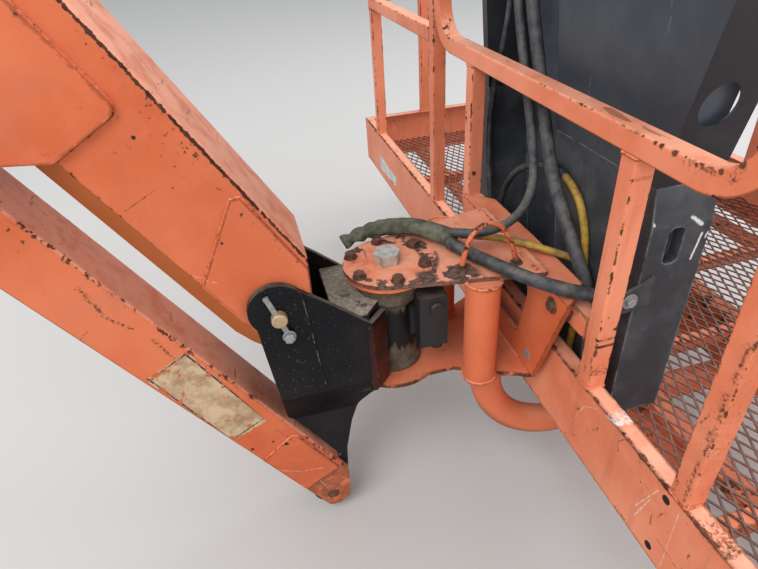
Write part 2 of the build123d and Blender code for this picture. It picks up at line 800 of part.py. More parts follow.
post_foot = toe_height + seat
low_post = mid_rail_z - tube / 2 - seat
high_foot = mid_rail_z + tube / 2 + seat
high_post = top_rail_z - tube / 2 - seat
post_rows = (           # x, y, foot and top of each post, on both sides
    (rail_line, post_y[0], post_foot, low_post),
    (rail_line, post_y[0], high_foot, high_post),
    (rail_line, post_y[1], post_foot, high_post),
    (rail_line, post_y[2], post_foot, low_post),
    (far_line, post_y[0], post_foot, low_post),
    (far_line, post_y[0], high_foot, high_post),
    (far_line, gate_half, post_foot, high_post),
    (near_x + depth / 4, end_line, post_foot, low_post),
    (near_x + depth / 4, end_line, high_foot, high_post),
    (far_x - depth / 4, end_line, post_foot, low_post),
    (far_x - depth / 4, end_line, high_foot, high_post),
)
with BuildPart() as posts:
    for x, y, low, high in post_rows:
        with BuildSketch(level_plane(low)):
            with Locations((x, y), (x, -y)):
                RectangleRounded(tube, tube, tube_corner)
        extrude(amount=high - low)
save(posts, "posts")

# Entry gate in the far side, hung on two pins beside its left-hand post
gate_stile_y = gate_half - tube / 2 - gate_gap - gate_tube / 2
with BuildPart() as gate:
    with BuildSketch(level_plane(gate_foot)):
        with Locations((far_line, gate_stile_y)):
            Circle(gate_tube / 2)
        with Locations((far_line, -gate_stile_y)):
            Rectangle(gate_tube, gate_tube)
    extrude(amount=top_rail_z + tube / 2 - gate_foot)
    for z in (gate_foot + gate_tube / 2, mid_rail_z, top_rail_z):
        with BuildSketch(Plane(origin=(far_line, 0, floor_z + z), z_dir=(0, 1, 0))):
            Rectangle(gate_tube - 4.0, gate_tube)
        extrude(amount=gate_stile_y, both=True)
    for z, rise in ((gate_foot, -18.0), (rail_height, 18.0)):
        with BuildSketch(level_plane(z)):
            with Locations((far_line, gate_stile_y)):
                Circle(gate_pin_r)
        extrude(amount=rise)
save(gate, "gate")

with BuildPart() as gate_hinges:
    for z in (gate_foot - 4.0 - 10.0, rail_height + 4.0):
        with BuildSketch(level_plane(z)):
            with Locations((far_line, gate_stile_y)):
                Circle(13.0)
            with Locations((far_line, (gate_half + gate_stile_y) / 2)):
                Rectangle(20.0, gate_half - gate_stile_y)
            with Locations((far_line, gate_stile_y)):
                Circle(gate_pin_r + running, mode=Mode.SUBTRACT)
            with Locations((far_line, gate_half)):
                round_post = Mode.SUBTRACT if z < rail_height else Mode.ADD
                Rectangle(tube + 2 * seat, tube + 2 * seat, mode=round_post)
        extrude(amount=10.0)
    with BuildSketch(level_plane(rail_height + seat)):
        with Locations((far_line, gate_half)):
            Rectangle(24.0, 24.0)
    extrude(amount=4.0 - seat)
save(gate_hinges, "gate_hinges")

with BuildPart() as gate_stop:
    with BuildSketch(level_plane(gate_stop_z)):
        with Locations((far_line + tube / 2 + seat + 2.0, -(gate_half - 22.0))):
            Rectangle(4.0, 60.0)
    extrude(amount=90.0)
save(gate_stop, "gate_stop")

# Console: folded panel, moulded foot and the control box
panel_front = near_x + panel_x


def console_edge(side, height, inset=0.0):
    """Y of the console's side edge at a height, moved inwards by an inset."""
    half = console_half + console_flare * (height - console_foot)
    return console_mid + side * (half - inset)


def console_view(x):
    """Front view of the console in the plane at x."""
    return Plane(origin=(x, 0, floor_z), x_dir=(0, 1, 0), z_dir=(1, 0, 0))


def slanted(low, high, inset_right, inset_left):
    """Corners of a strip between two insets of the console's side edges."""
    return (
        (console_edge(-1, low, inset_right), low), (console_edge(1, low, inset_left), low),
        (console_edge(1, high, inset_left), high), (console_edge(-1, high, inset_right), high),
    )


def recess(low, high, wall):
    """Corners of the hose recess at the left, grown by a wall."""
    return (
        (console_edge(1, low, recess_width + wall), low), (console_edge(1, low, recess_lip - wall), low),
        (console_edge(1, high, recess_lip - wall), high), (console_edge(1, high, recess_width + wall), high),
    )


with BuildPart() as console_panel:
    panel_foot = console_foot + seat
    with BuildSketch(console_view(panel_front)):
        Polygon(*slanted(panel_foot, console_top, 0, 0), align=None)
    extrude(amount=console_depth)
    with BuildSketch(console_view(panel_front + panel_wall)):
        Polygon(*slanted(panel_foot - 5, console_top + 5, panel_wall, panel_wall), align=None)
    extrude(amount=console_depth, mode=Mode.SUBTRACT)
    with BuildSketch(console_view(panel_front)):
        Polygon(*recess(panel_foot, console_top, panel_wall), align=None)
    extrude(amount=recess_depth + panel_wall)
    with BuildSketch(console_view(panel_front)):
        Polygon(*recess(panel_foot - 5, console_top + 5, 0), align=None)
    extrude(amount=recess_depth, mode=Mode.SUBTRACT)
    hole = Plane(origin=(panel_front + 42.0, console_edge(-1, 596.0), floor_z + 596.0), z_dir=(0, 1, 0))
    with BuildSketch(hole):
        Circle(28.0)
    extrude(amount=20.0, both=True, mode=Mode.SUBTRACT)
save(console_panel, "console_panel")

foot_base = deck_z + deck + seat
foot_y = console_mid - foot_half_y
with BuildPart() as console_foot_body:
    with BuildSketch(console_view(panel_front)):
        with BuildLine():
            Polyline(
                (console_edge(-1, console_foot), console_foot), (foot_y, console_foot - 60.0),
                (foot_y, foot_base), (console_edge(1, console_foot), foot_base),
                (console_edge(1, console_foot), console_foot), close=True,
            )
        make_face()
    extrude(amount=console_depth)
    with BuildSketch(console_view(panel_front)):
        Polygon(*recess(foot_base + 12.0, console_foot + 5, 0), align=None)
    extrude(amount=console_depth - 12.0, mode=Mode.SUBTRACT)
    with BuildSketch(Plane(origin=(panel_front, foot_y, floor_z), x_dir=(1, 0, 0), z_dir=(0, -1, 0))):
        with Locations((44.0, 390.0)):
            RectangleRounded(26.0, 60.0, 10.0)
    extrude(amount=-22.0, mode=Mode.SUBTRACT)
    with BuildSketch(Plane(origin=(panel_front, console_edge(1, console_foot), floor_z), z_dir=(0, 1, 0))):
        with Locations((-5.0, 395.0), (-30.0, 395.0), (-52.0, 395.0)):
            RectangleRounded(9.0, 46.0, 4.0)
    extrude(amount=40.0, both=True, mode=Mode.SUBTRACT)
save(console_foot_body, "console_foot")

box_half = console_edge(1, console_top) - console_mid - 10.0
with BuildPart() as control_box:
    with BuildSketch(Plane(origin=(panel_front, console_mid, floor_z), x_dir=(1, 0, 0), z_dir=(0, -1, 0))):
        with BuildLine():
            Polyline(
                (-20.0, console_top + seat), (150.0, console_top + seat),
                (150.0, console_top + box_height * 0.6),
                (60.0, console_top + box_height), (-20.0, console_top + box_height), close=True,
            )
        make_face()
    extrude(amount=box_half, both=True)
    fillet(edges().filter_by(Axis.Y).group_by(Axis.Z)[-1], 12.0)
save(control_box, "control_box")

face_fall = box_height * 0.4
face_run = 90.0
face_z = floor_z + console_top + box_height - face_fall / 2
with BuildPart() as levers:
    for y in (-170.0, 0.0, 170.0):
        face = Plane(
            origin=(panel_front + 60.0 + face_run / 2, console_mid + y, face_z),
            x_dir=(0, 1, 0), z_dir=(face_fall, 0, face_run),
        )
        with BuildSketch(face.offset(seat)):
            Circle(22.0)
        extrude(amount=30.0, taper=22)
        with BuildSketch(face.offset(seat + 30.0)):
            Circle(7.0)
        extrude(amount=60.0)
save(levers, "control_levers")

switch_view = Plane(
    origin=(near_x + switch_x, switch_y, floor_z + deck_z + deck + seat), x_dir=(1, 0, 0), z_dir=(0, -1, 0),
)
with BuildPart() as foot_switch:
    with BuildSketch(switch_view):
        with BuildLine():
            Polyline(
                (0, 0), (200.0, 0), (200.0, 12.0), (170.0, 30.0), (60.0, 62.0), (10.0, 62.0), (0, 45.0),
                close=True,
            )
        make_face()
    extrude(amount=-130.0)
save(foot_switch, "foot_switch")

# Hoses from the sleeve on the rotator to the console, and the bent rod that guides them.
# Each row is a name, a diameter and the corners of the route, from the platform's near face and underside.
routes = (
    ("hose_guide", 2 * guide_r, (
        (-140, -68, 298.3), (-134, -70, 338), (-120, -66, 363), (-92, -60, 373), (-66, -62, 362),
        (-52, -72, 334),
        (-46, -84, 299.2))),
    ("hose_sleeve", 36.0, (
        (-314, 90, 301), (-284, 98, 309.5), (-250.7, 98, 315.5), (-218, 89.2, 319.5), (-189.2, 72.9, 322),
        (-165.7, 50.4, 323.2), (-147.8, 23.9, 323.2), (-134, -4, 322.2))),
    ("hose_lift", 16.0, (
        (-135, -9.5, 336), (-112, -31, 339), (-77, -45, 345), (-39, -45, 357), (-4, -29, 377), (20, -1, 406),
        (32, 33, 446), (39, 70, 500), (44, 112, 566), (50, 156, 640), (56, 196, 720), (62, 223, 810),
        (66, 237, 900), (68, 240, 984.7))),
    ("hose_main", 23.0, (
        (-139, -7.5, 313.5), (-122, -45, 313), (-101, -84, 312.5), (-79, -122, 312), (-54, -158, 310),
        (-24, -187, 306), (10, -206, 300), (42, -219, 290), (60, -226, 284))),
    ("hose_supply", 23.0, (
        (64, 206, 984.7), (65, 203, 910), (65.5, 191, 830), (65, 171, 745), (64.5, 141, 665), (64, 106, 590),
        (60, 68, 524), (49, 21, 468), (38.4, -32, 412), (37.5, -86, 364), (39.5, -128, 318), (47, -158, 277),
        (48, -178, 226), (48.5, -190, 170), (48.5, -193, 112), (48, -192, 49.6))),
    ("hose_loop", 13.0, (
        (57, 206, 49.6), (58, 208, 100), (60, 210, 156), (62, 210, 214), (62, 200, 270), (61, 177, 318),
        (60, 142, 357), (58.5, 98, 387), (58.7, 48, 410), (58.7, -2, 421), (58.7, -48, 418), (58.7, -86, 398),
        (58.8, -110, 362), (58.8, -123, 318), (58.7, -129, 268), (57, -132, 216), (54, -133, 164),
        (52, -133, 106), (51, -132, 49.6))),
    ("hose_return", 13.0, (
        (-117, -2, 322.5), (-95, -9, 320), (-67, -15, 315.5), (-38, -26, 311), (-11, -46, 307),
        (11, -67, 304),
        (32, -83, 299.5), (48, -93, 294), (60.6, -101, 289))),
    ("hose_signal", 11.0, (
        (88, 268, 984.7), (88, 268.5, 930), (86, 266, 870), (82, 260, 810), (78, 249, 750), (74, 240, 690),
        (68, 234, 630), (60, 236, 570), (54, 246, 510), (50, 254, 450), (48, 250, 390), (46, 238, 334),
        (45, 222, 280), (44, 208, 226), (44, 200, 170), (44.5, 197, 110), (44, 197, 49.6))),
)
for name, diameter, corners in routes:
    points = [Vector(near_x + x, y, floor_z + z) for x, y, z in corners]
    runs = [b - a for a, b in zip(points, points[1:])]
    radii = [
        0.45 * min(a.length, b.length) / tan(radians(a.get_angle(b)) / 2)
        for a, b in zip(runs, runs[1:])
    ]
    print(name, "bends at", [round(r) for r in radii])
    with BuildPart() as hose:
        with BuildLine() as route:
            FilletPolyline(*points, radius=radii)
        with BuildSketch(Plane(origin=route.line @ 0, z_dir=route.line % 0)):
            Circle(diameter / 2)
        sweep()
    save(hose, name)
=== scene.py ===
import json
import math
import random

import bpy
from mathutils import Matrix, Vector


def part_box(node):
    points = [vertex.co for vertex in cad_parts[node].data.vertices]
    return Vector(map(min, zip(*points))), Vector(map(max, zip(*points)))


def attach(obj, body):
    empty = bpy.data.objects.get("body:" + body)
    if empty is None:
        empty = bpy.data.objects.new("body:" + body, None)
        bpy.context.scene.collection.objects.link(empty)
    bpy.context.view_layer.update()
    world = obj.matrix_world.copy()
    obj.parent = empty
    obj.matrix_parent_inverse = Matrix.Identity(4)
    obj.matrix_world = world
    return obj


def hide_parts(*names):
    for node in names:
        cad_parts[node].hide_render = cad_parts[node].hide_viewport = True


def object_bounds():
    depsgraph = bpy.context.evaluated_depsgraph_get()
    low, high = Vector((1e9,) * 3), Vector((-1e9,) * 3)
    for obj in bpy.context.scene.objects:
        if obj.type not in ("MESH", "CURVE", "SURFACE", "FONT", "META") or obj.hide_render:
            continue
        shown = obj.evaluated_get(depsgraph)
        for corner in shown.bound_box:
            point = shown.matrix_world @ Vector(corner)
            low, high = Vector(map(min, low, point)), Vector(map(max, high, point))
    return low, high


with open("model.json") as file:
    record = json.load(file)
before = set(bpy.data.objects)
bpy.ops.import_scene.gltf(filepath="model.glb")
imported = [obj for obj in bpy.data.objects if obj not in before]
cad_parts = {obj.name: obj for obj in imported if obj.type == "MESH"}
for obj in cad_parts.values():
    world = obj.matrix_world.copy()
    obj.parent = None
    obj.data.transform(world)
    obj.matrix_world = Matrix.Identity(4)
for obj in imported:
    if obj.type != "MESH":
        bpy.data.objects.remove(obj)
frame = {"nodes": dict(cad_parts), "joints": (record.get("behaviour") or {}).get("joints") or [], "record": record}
cad_low, cad_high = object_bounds()
nodes = frame["nodes"]
dice = random.Random(7)

# Places of the frame, in metres
SWING = next(j for j in frame["joints"] if j["name"] == "swing")["pos_m"]
ARM_END = Vector(next(j for j in frame["joints"] if j["name"] == "fork_level")["pos_m"])
LINK_END = ARM_END + Vector((0.039, 0, -0.536))
(NEAR_X, _, FLOOR_Z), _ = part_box("toe_boards")
JIB_SLOPE = math.radians(60)
ALONG = Vector((math.cos(JIB_SLOPE), 0, -math.sin(JIB_SLOPE)))
UP = Vector((math.sin(JIB_SLOPE), 0, math.cos(JIB_SLOPE)))
SIDE = Vector((0, 1, 0))
UPWARDS = Vector((0, 0, 1))
FORWARD = Vector((1, 0, 0))
MM = 0.001

# Sizes that the CAD solids give, in millimetres
ARM_HALF = 76.2        # from the middle to the arm's side
ARM_TOP = 93           # from the arm's end pivot line to its top face
ARM_CHAMFER = -51      # from the same line to the chamfer of its lower edge
LINK_HALF = 49         # from the middle to where the link's corner rounds off
LINK_TOP = 68.8        # from the link's end pivot line to its top face
LINK_TALL = 101
BRACKET_HALF = 92.1    # from the middle to the bracket's outer face
KEEPER_FACE = 94.8     # from the middle to the doubler's outer face
TOE_TALL = 152.4
PLATE_TOP = 0.297      # metres from the platform's underside to the rotator's top plate, and on to its screws
SCREW_UNDER = PLATE_TOP + 0.008
SCREW_MIDDLE = PLATE_TOP + 0.015

# Camera, placed from the platform's near face, middle and underside
CAMERA_OFF = Vector((-0.45613, -0.81209, 0.82656))
CAMERA_RIGHT = Vector((0.96342508, -0.26114966, -0.06010799))
CAMERA_UP = Vector((0.19685336, 0.53749582, 0.81996768))
CAMERA_LENS = 26.41


def plat(x, y, z):
    """Millimetres from the platform's near face, middle and underside."""
    return Vector((NEAR_X, 0, FLOOR_Z)) + Vector((x, y, z)) * MM


def arm(s, y, p):
    """Millimetres along the upper arm from its end pivot, across, and square to it."""
    return ARM_END + (ALONG * s + SIDE * y + UP * p) * MM


def link(s, y, p):
    """The same for the lower link."""
    return LINK_END + (ALONG * s + SIDE * y + UP * p) * MM


def fork(x, y, z):
    """Millimetres from the arm's end pivot, on the rotator's bracket."""
    return ARM_END + Vector((x, y, z)) * MM


# Materials


class Shader:
    """A node material whose helpers return sockets."""

    def __init__(self, name):
        self.mat = bpy.data.materials.new(name)
        self.mat.use_nodes = True
        self.tree = self.mat.node_tree
        self.tree.nodes.clear()
        self.bsdf = self.add("ShaderNodeBsdfPrincipled")
        out = self.add("ShaderNodeOutputMaterial")
        self.link(self.bsdf.outputs[0], out.inputs[0])
        self.coords = self.add("ShaderNodeTexCoord")
        self.here = self.coords.outputs["Object"]

    def add(self, kind, **settings):
        node = self.tree.nodes.new(kind)
        for key, value in settings.items():
            setattr(node, key, value)
        return node

    def link(self, a, b):
        self.tree.links.new(a, b)

    def set(self, socket, value):
        if hasattr(value, "is_output"):
            self.link(value, socket)
        else:
            socket.default_value = value

    def place(self, scale):
        """Object coordinates, stretched."""
        node = self.add("ShaderNodeMapping")
        self.link(self.here, node.inputs[0])
        node.inputs["Scale"].default_value = scale
        return node.outputs[0]

    def noise(self, scale, detail=4.0, rough=0.55, at=None):
        node = self.add("ShaderNodeTexNoise")
        self.link(at or self.here, node.inputs["Vector"])
        node.inputs["Scale"].default_value = scale
        node.inputs["Detail"].default_value = detail
        node.inputs["Roughness"].default_value = rough
        return node.outputs[0]

    def maths(self, kind, a, b=0.0, clamp=False):
        node = self.add("ShaderNodeMath", operation=kind, use_clamp=clamp)
        self.set(node.inputs[0], a)
        self.set(node.inputs[1], b)
        return node.outputs[0]

    def times(self, *values):
        out = values[0]
        for value in values[1:]:
            out = self.maths("MULTIPLY", out, value)
        return out

    def plus(self, *values):
        out = values[0]
        for value in values[1:]:
            out = self.maths("ADD", out, value)
        return out

    def less(self, value):
        return self.maths("SUBTRACT", 1.0, value, True)

    def band(self, value, low, high):
        """0 below low, 1 above high, smooth between."""
        node = self.add("ShaderNodeMapRange", interpolation_type="SMOOTHSTEP")
        self.set(node.inputs["Value"], value)
        node.inputs["From Min"].default_value = low
        node.inputs["From Max"].default_value = high
        return node.outputs[0]

    def mix(self, fac, a, b):
        node = self.add("ShaderNodeMix", data_type="RGBA")
        self.set(node.inputs[0], fac)
        self.set(node.inputs[6], a if hasattr(a, "is_output") else (*a, 1))
        self.set(node.inputs[7], b if hasattr(b, "is_output") else (*b, 1))
        return node.outputs[2]

    def vector(self, kind, a, b):
        node = self.add("ShaderNodeVectorMath", operation=kind)
        self.set(node.inputs[0], a)
        self.set(node.inputs[1], b)
        return node

    def along(self, start, way, here=None):
        """Distance of the point from start, measured along way."""
        off = self.vector("SUBTRACT", here or self.here, tuple(start)).outputs[0]
        return self.vector("DOT_PRODUCT", off, tuple(way)).outputs["Value"]

    def away(self, point, flat=(1, 1, 1)):
        """Distance of the point from another; flat leaves a direction out."""
        there = tuple(a * b for a, b in zip(point, flat))
        return self.vector("DISTANCE", self.place(flat), there).outputs["Value"]

    def stroke(self, points, width, ragged=0.5, flat=(1, 1, 1)):
        """1 near a broken line through the points; flat leaves a direction out."""
        worst = None
        here = self.place(flat)
        points = [Vector(a * b for a, b in zip(p, flat)) for p in points]
        for a, b in zip(points, points[1:]):
            way = b - a
            part = self.maths("DIVIDE", self.along(a, way, here), way.length_squared, True)
            scaled = self.add("ShaderNodeVectorMath", operation="SCALE")
            scaled.inputs[0].default_value = tuple(way)
            self.link(part, scaled.inputs["Scale"])
            foot = self.vector("ADD", tuple(a), scaled.outputs[0]).outputs[0]
            gap = self.vector("DISTANCE", here, foot).outputs["Value"]
            worst = gap if worst is None else self.maths("MINIMUM", worst, gap)
        rough = self.maths("MULTIPLY", self.noise(230.0, 3.0), width * ragged * 2.6)
        return self.less(self.band(self.plus(worst, rough), width * 0.75, width * 1.6))

    def spot(self, point, radius, ragged=0.0, flat=(1, 1, 1)):
        rough = self.maths("MULTIPLY", self.noise(150.0, 3.0), radius * ragged)
        return self.less(self.band(self.plus(self.away(point, flat), rough), radius * 0.86, radius * 1.05))

    def edges(self, radius=0.004):
        """High near a sharp edge."""
        bevel = self.add("ShaderNodeBevel", samples=4)
        bevel.inputs["Radius"].default_value = radius
        true = self.add("ShaderNodeNewGeometry")
        dot = self.vector("DOT_PRODUCT", bevel.outputs[0], true.outputs["True Normal"])
        return self.maths("MULTIPLY", self.maths("SUBTRACT", 1.0, dot.outputs["Value"]), 3.0, True)

    def facing(self, way):
        """The surface's own normal along a direction."""
        dot = self.vector("DOT_PRODUCT", self.coords.outputs["Normal"], tuple(way))
        return dot.outputs["Value"]

    def corner(self, way):
        """High on a rounded tube corner, half turned from the direction."""
        n = self.facing(way)
        rest = self.maths("POWER", self.less(self.times(n, n)), 0.5)
        return self.maths("MULTIPLY", self.maths("ABSOLUTE", self.times(n, rest)), 2.0, True)

    def bump(self, height, distance, strength=1.0):
        node = self.add("ShaderNodeBump")
        node.inputs["Distance"].default_value = distance
        node.inputs["Strength"].default_value = strength
        self.link(height, node.inputs["Height"])
        self.link(node.outputs[0], self.bsdf.inputs["Normal"])

    def finish(self, colour, rough, metal=0.0, glint=0.5):
        self.set(self.bsdf.inputs["Base Color"], colour if hasattr(colour, "is_output") else (*colour, 1))
        self.set(self.bsdf.inputs["Roughness"], rough)
        self.set(self.bsdf.inputs["Metallic"], metal)
        self.bsdf.inputs["Specular IOR Level"].default_value = glint
        return self.mat


DEEP = ((0.57, 0.112, 0.036), (0.69, 0.18, 0.078))
PALE = ((0.69, 0.185, 0.085), (0.82, 0.29, 0.165))
BLEACHED = (0.84, 0.38, 0.25)
UNDER = (0.36, 0.095, 0.014)
RUST_DARK = (0.030, 0.014, 0.010)
RUST = (0.17, 0.060, 0.024)
SCRAPED = (0.75, 0.71, 0.66)


def worn_paint(name, chips=0.72, edge=0.22, round_way=None, dirt=0.25, bleach=0.7, size=62.0, reach=0.009,
               colours=DEEP, rust=(RUST_DARK, RUST), scratches=(), rust_lines=(), rust_spots=(),
               flat=(1, 1, 1), extra=None, sky=UPWARDS, rubbed=()):
    """Sun-faded orange paint, chipped to rust at its edges and in patches.

    rubbed holds, for an edge, a point of it, its two outward ways, how far it is rubbed and how much.
    """
    s = Shader(name)
    patch = s.noise(2.7, 3.0)
    body = s.mix(s.band(patch, 0.36, 0.66), *colours)
    cloud = s.noise(19.0, 5.0, 0.65)
    body = s.mix(s.times(s.band(cloud, 0.42, 0.72), 0.45), body, colours[1])
    top = s.band(s.facing(sky), 0.35, 0.9)
    body = s.mix(s.times(top, bleach, s.band(cloud, 0.2, 0.6)), body, BLEACHED)
    hair = s.noise(46.0, 4.0, 0.6, s.place((1, 0.16, 1)))
    hair = s.times(top, s.band(hair, 0.645, 0.66), bleach)
    under = s.less(s.band(s.facing(sky), -0.45, -0.15))
    body = s.mix(s.times(under, 0.8), body, UNDER)
    drips = s.band(s.noise(30.0, 5.0, 0.7, s.place((1, 1, 0.09))), 0.52, 0.74)
    body = s.mix(s.times(drips, dirt), body, (0.22, 0.10, 0.055))
    grime = s.band(s.noise(8.0, 6.0, 0.7), 0.5, 0.8)
    body = s.mix(s.times(grime, dirt), body, (0.30, 0.17, 0.11))
    fine = s.noise(size, 6.0, 0.68)
    where = s.noise(9.0, 3.0, 0.6)
    sharp = s.edges(reach)
    if round_way is not None:
        sharp = s.maths("MAXIMUM", sharp, s.times(s.corner(round_way), 0.8))
    wear = s.plus(fine, s.times(sharp, edge), s.times(s.plus(where, -0.5), 0.45))
    for start, way, out, spread, amount in rubbed:
        across = s.maths("ABSOLUTE", s.along((0, 0, 0), out))
        side = s.plus(across, -abs(start.dot(out)))
        rise = s.along(start, way)
        near = s.maths("POWER", s.plus(s.times(side, side), s.times(rise, rise)), 0.5)
        wear = s.plus(wear, s.times(s.less(s.band(near, spread * 0.15 * MM, spread * MM)), amount))
    chipped = s.band(wear, chips, chips + 0.012)
    halo = s.band(wear, chips - 0.055, chips + 0.004)
    for points, width in rust_lines:
        line = s.stroke(points, width * MM, 0.9, flat)
        chipped = s.maths("MAXIMUM", chipped, line)
        halo = s.maths("MAXIMUM", halo, s.stroke(points, width * 2.2 * MM, 0.9, flat))
    for point, radius in rust_spots:
        chipped = s.maths("MAXIMUM", chipped, s.spot(point, radius * MM, 0.6, flat))
        halo = s.maths("MAXIMUM", halo, s.spot(point, radius * 1.7 * MM, 0.8, flat))
    if extra:
        chipped, halo = extra(s, chipped, halo)
    bare = s.mix(s.band(s.noise(95.0, 5.0, 0.7), 0.35, 0.65), *rust)
    body = s.mix(s.times(halo, 0.5), body, (0.34, 0.115, 0.04))
    body = s.mix(s.times(hair, 0.7), body, (0.16, 0.07, 0.045))
    body = s.mix(chipped, body, bare)
    for points, width in scratches:
        mark = s.stroke(points, width * MM, 0.8, flat)
        body = s.mix(s.times(mark, 0.9), body, SCRAPED)
    rough = s.plus(0.46, s.times(chipped, 0.4), s.times(patch, 0.12))
    s.bump(s.plus(s.times(chipped, -0.7), s.times(fine, 0.10), s.times(cloud, 0.12)), 0.0007)
    return s.finish(body, rough, 0.0, 0.32)


def gloss_black(name, dust=0.8, shine=0.3, tint=None):
    """New black paint with dust on what faces up."""
    s = Shader(name)
    top = s.times(s.band(s.facing(UPWARDS), 0.25, 0.9), s.band(s.noise(13.0, 5.0, 0.6), 0.2, 0.62), dust)
    film = s.times(s.band(s.noise(5.0, 5.0), 0.4, 0.8), 0.05)
    fac = s.plus(top, film)
    specks = s.band(s.noise(240.0, 2.0), 0.66, 0.72)
    edge = s.times(s.edges(0.002), s.band(s.noise(70.0, 4.0), 0.5, 0.6))
    colour = (0.0055, 0.0055, 0.0075)
    if tint:
        colour = tint(s, colour)
    colour = s.mix(fac, colour, (0.24, 0.21, 0.165))
    colour = s.mix(s.times(specks, 0.25), colour, (0.3, 0.29, 0.27))
    colour = s.mix(s.times(edge, 0.5), colour, (0.25, 0.24, 0.23))
    s.bump(s.noise(70.0, 3.0), 0.00035)
    s.finish(colour, s.plus(shine, s.times(fac, 0.6), s.times(specks, 0.2)))
    level = s.bsdf.inputs["Specular IOR Level"]
    s.link(s.plus(0.01, s.times(s.band(s.facing(UPWARDS), -0.4, -0.1), 0.13)), level)
    return s.mat


def plain(name, colour, rough, metal=0.0, vary=0.3, scale=30.0, other=None, dust=0.0, bump=0.0003):
    """One colour that varies, with dust on top."""
    s = Shader(name)
    other = other or [c * 0.6 for c in colour]
    n = s.noise(scale, 5.0, 0.62)
    body = s.mix(s.times(s.band(n, 0.36, 0.7), vary), colour, other)
    top = s.times(s.band(s.facing(UPWARDS), 0.1, 0.9), s.band(s.noise(21.0, 5.0, 0.65), 0.3, 0.7), dust)
    body = s.mix(top, body, (0.26, 0.225, 0.18))
    s.bump(n, bump)
    return s.finish(body, s.plus(rough, s.times(n, 0.15), s.times(top, 0.3)), s.times(s.less(top), metal))


# Pieces: welds, bolts, plates and tubes are drawn into lots, one mesh each


class Lot:
    """Points and faces that become one piece."""

    def __init__(self):
        self.points = []
        self.faces = []

    def ring(self, centre, across, up, radii, sides):
        """A ring of points; radii is one radius, or one for each side."""
        first = len(self.points)
        for k in range(sides):
            turn = 2 * math.pi * k / sides
            r = radii[k] if isinstance(radii, list) else radii
            self.points.append(centre + (across * math.cos(turn) + up * math.sin(turn)) * r)
        return list(range(first, first + sides))

    def join(self, a, b):
        for k in range(len(a)):
            n = (k + 1) % len(a)
            self.faces.append((a[k], a[n], b[n], b[k]))

    def cap(self, ring):
        self.faces.append(tuple(ring))

    def rod(self, a, b, radius, sides=24, chamfer=0.0):
        """A bar from a to b, its far end chamfered."""
        way = (b - a).normalized()
        across = way.orthogonal().normalized()
        up = way.cross(across)
        rings = [self.ring(a, across, up, radius, sides)]
        rings.append(self.ring(b - way * chamfer, across, up, radius, sides))
        if chamfer:
            rings.append(self.ring(b, across, up, radius - chamfer * 1.2, sides))
        for one, two in zip(rings, rings[1:]):
            self.join(one, two)
        self.cap(rings[0][::-1])
        self.cap(rings[-1])

    def bolt(self, a, way, head, height, washer=0.0):
        """A washer and a hexagon head that stand on a, along way."""
        way = way.normalized()
        if washer:
            thick = way * 1.6 * MM
            self.rod(a, a + thick, washer, 28, 0.4 * MM)
            a = a + thick
        self.rod(a, a + way * height, head, 6, height * 0.16)

    def plate(self, corners, way):
        """A flat plate from its corners, as thick as way is long."""
        n = len(corners)
        first = len(self.points)
        self.points += [Vector(c) for c in corners] + [Vector(c) + way for c in corners]
        self.faces.append(tuple(range(first, first + n))[::-1])
        self.faces.append(tuple(range(first + n, first + 2 * n)))
        for k in range(n):
            m = (k + 1) % n
            self.faces.append((first + k, first + m, first + n + m, first + n + k))

    def tube(self, path, radius, sides=8, closed=False, level=False):
        """A tube along a path; radius is a length or a function of the share along it."""
        count = len(path)
        ways = []
        for k, point in enumerate(path):
            before = path[k - 1] if k or closed else point
            after = path[(k + 1) % count] if k + 1 < count or closed else point
            ways.append((after - before).normalized())
        across = ways[0].orthogonal().normalized()
        rings = []
        for k, (point, way) in enumerate(zip(path, ways)):
            across = way.cross(UPWARDS) if level else across - way * across.dot(way)
            across.normalize()
            r = radius(k / max(1, count - 1)) if callable(radius) else radius
            up = across.cross(way) if level else way.cross(across)
            rings.append(self.ring(point, across, up, r, sides))
        for one, two in zip(rings, rings[1:]):
            self.join(one, two)
        if closed:
            self.join(rings[-1], rings[0])
        else:
            self.cap(rings[0][::-1])
            self.cap(rings[-1])

    def bead(self, corners, radius, closed=False):
        """A rippled weld bead along straight runs."""
        path = []
        ends = corners + corners[:1] if closed else corners
        for a, b in zip(ends, ends[1:]):
            steps = max(1, round((b - a).length / (3.4 * MM)))
            path += [a.lerp(b, k / steps) for k in range(steps)]
        if not closed:
            path.append(corners[-1])
        if len(path) > 2:
            wobble = [radius * dice.uniform(0.78, 1.08) for _ in path]
            self.tube(path, lambda t: wobble[round(t * (len(path) - 1))], 6, closed)

    def make(self, name, material, body, smooth=False):
        inside = [[min(max(c, a), b) for c, a, b in zip(p, cad_low, cad_high)] for p in self.points]
        mesh = bpy.data.meshes.new(name)
        mesh.from_pydata(inside, [], self.faces)
        mesh.validate()
        mesh.materials.append(material)
        for face in mesh.polygons:
            face.use_smooth = smooth
        piece = bpy.data.objects.new(name, mesh)
        bpy.context.collection.objects.link(piece)
        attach(piece, body)
        return piece


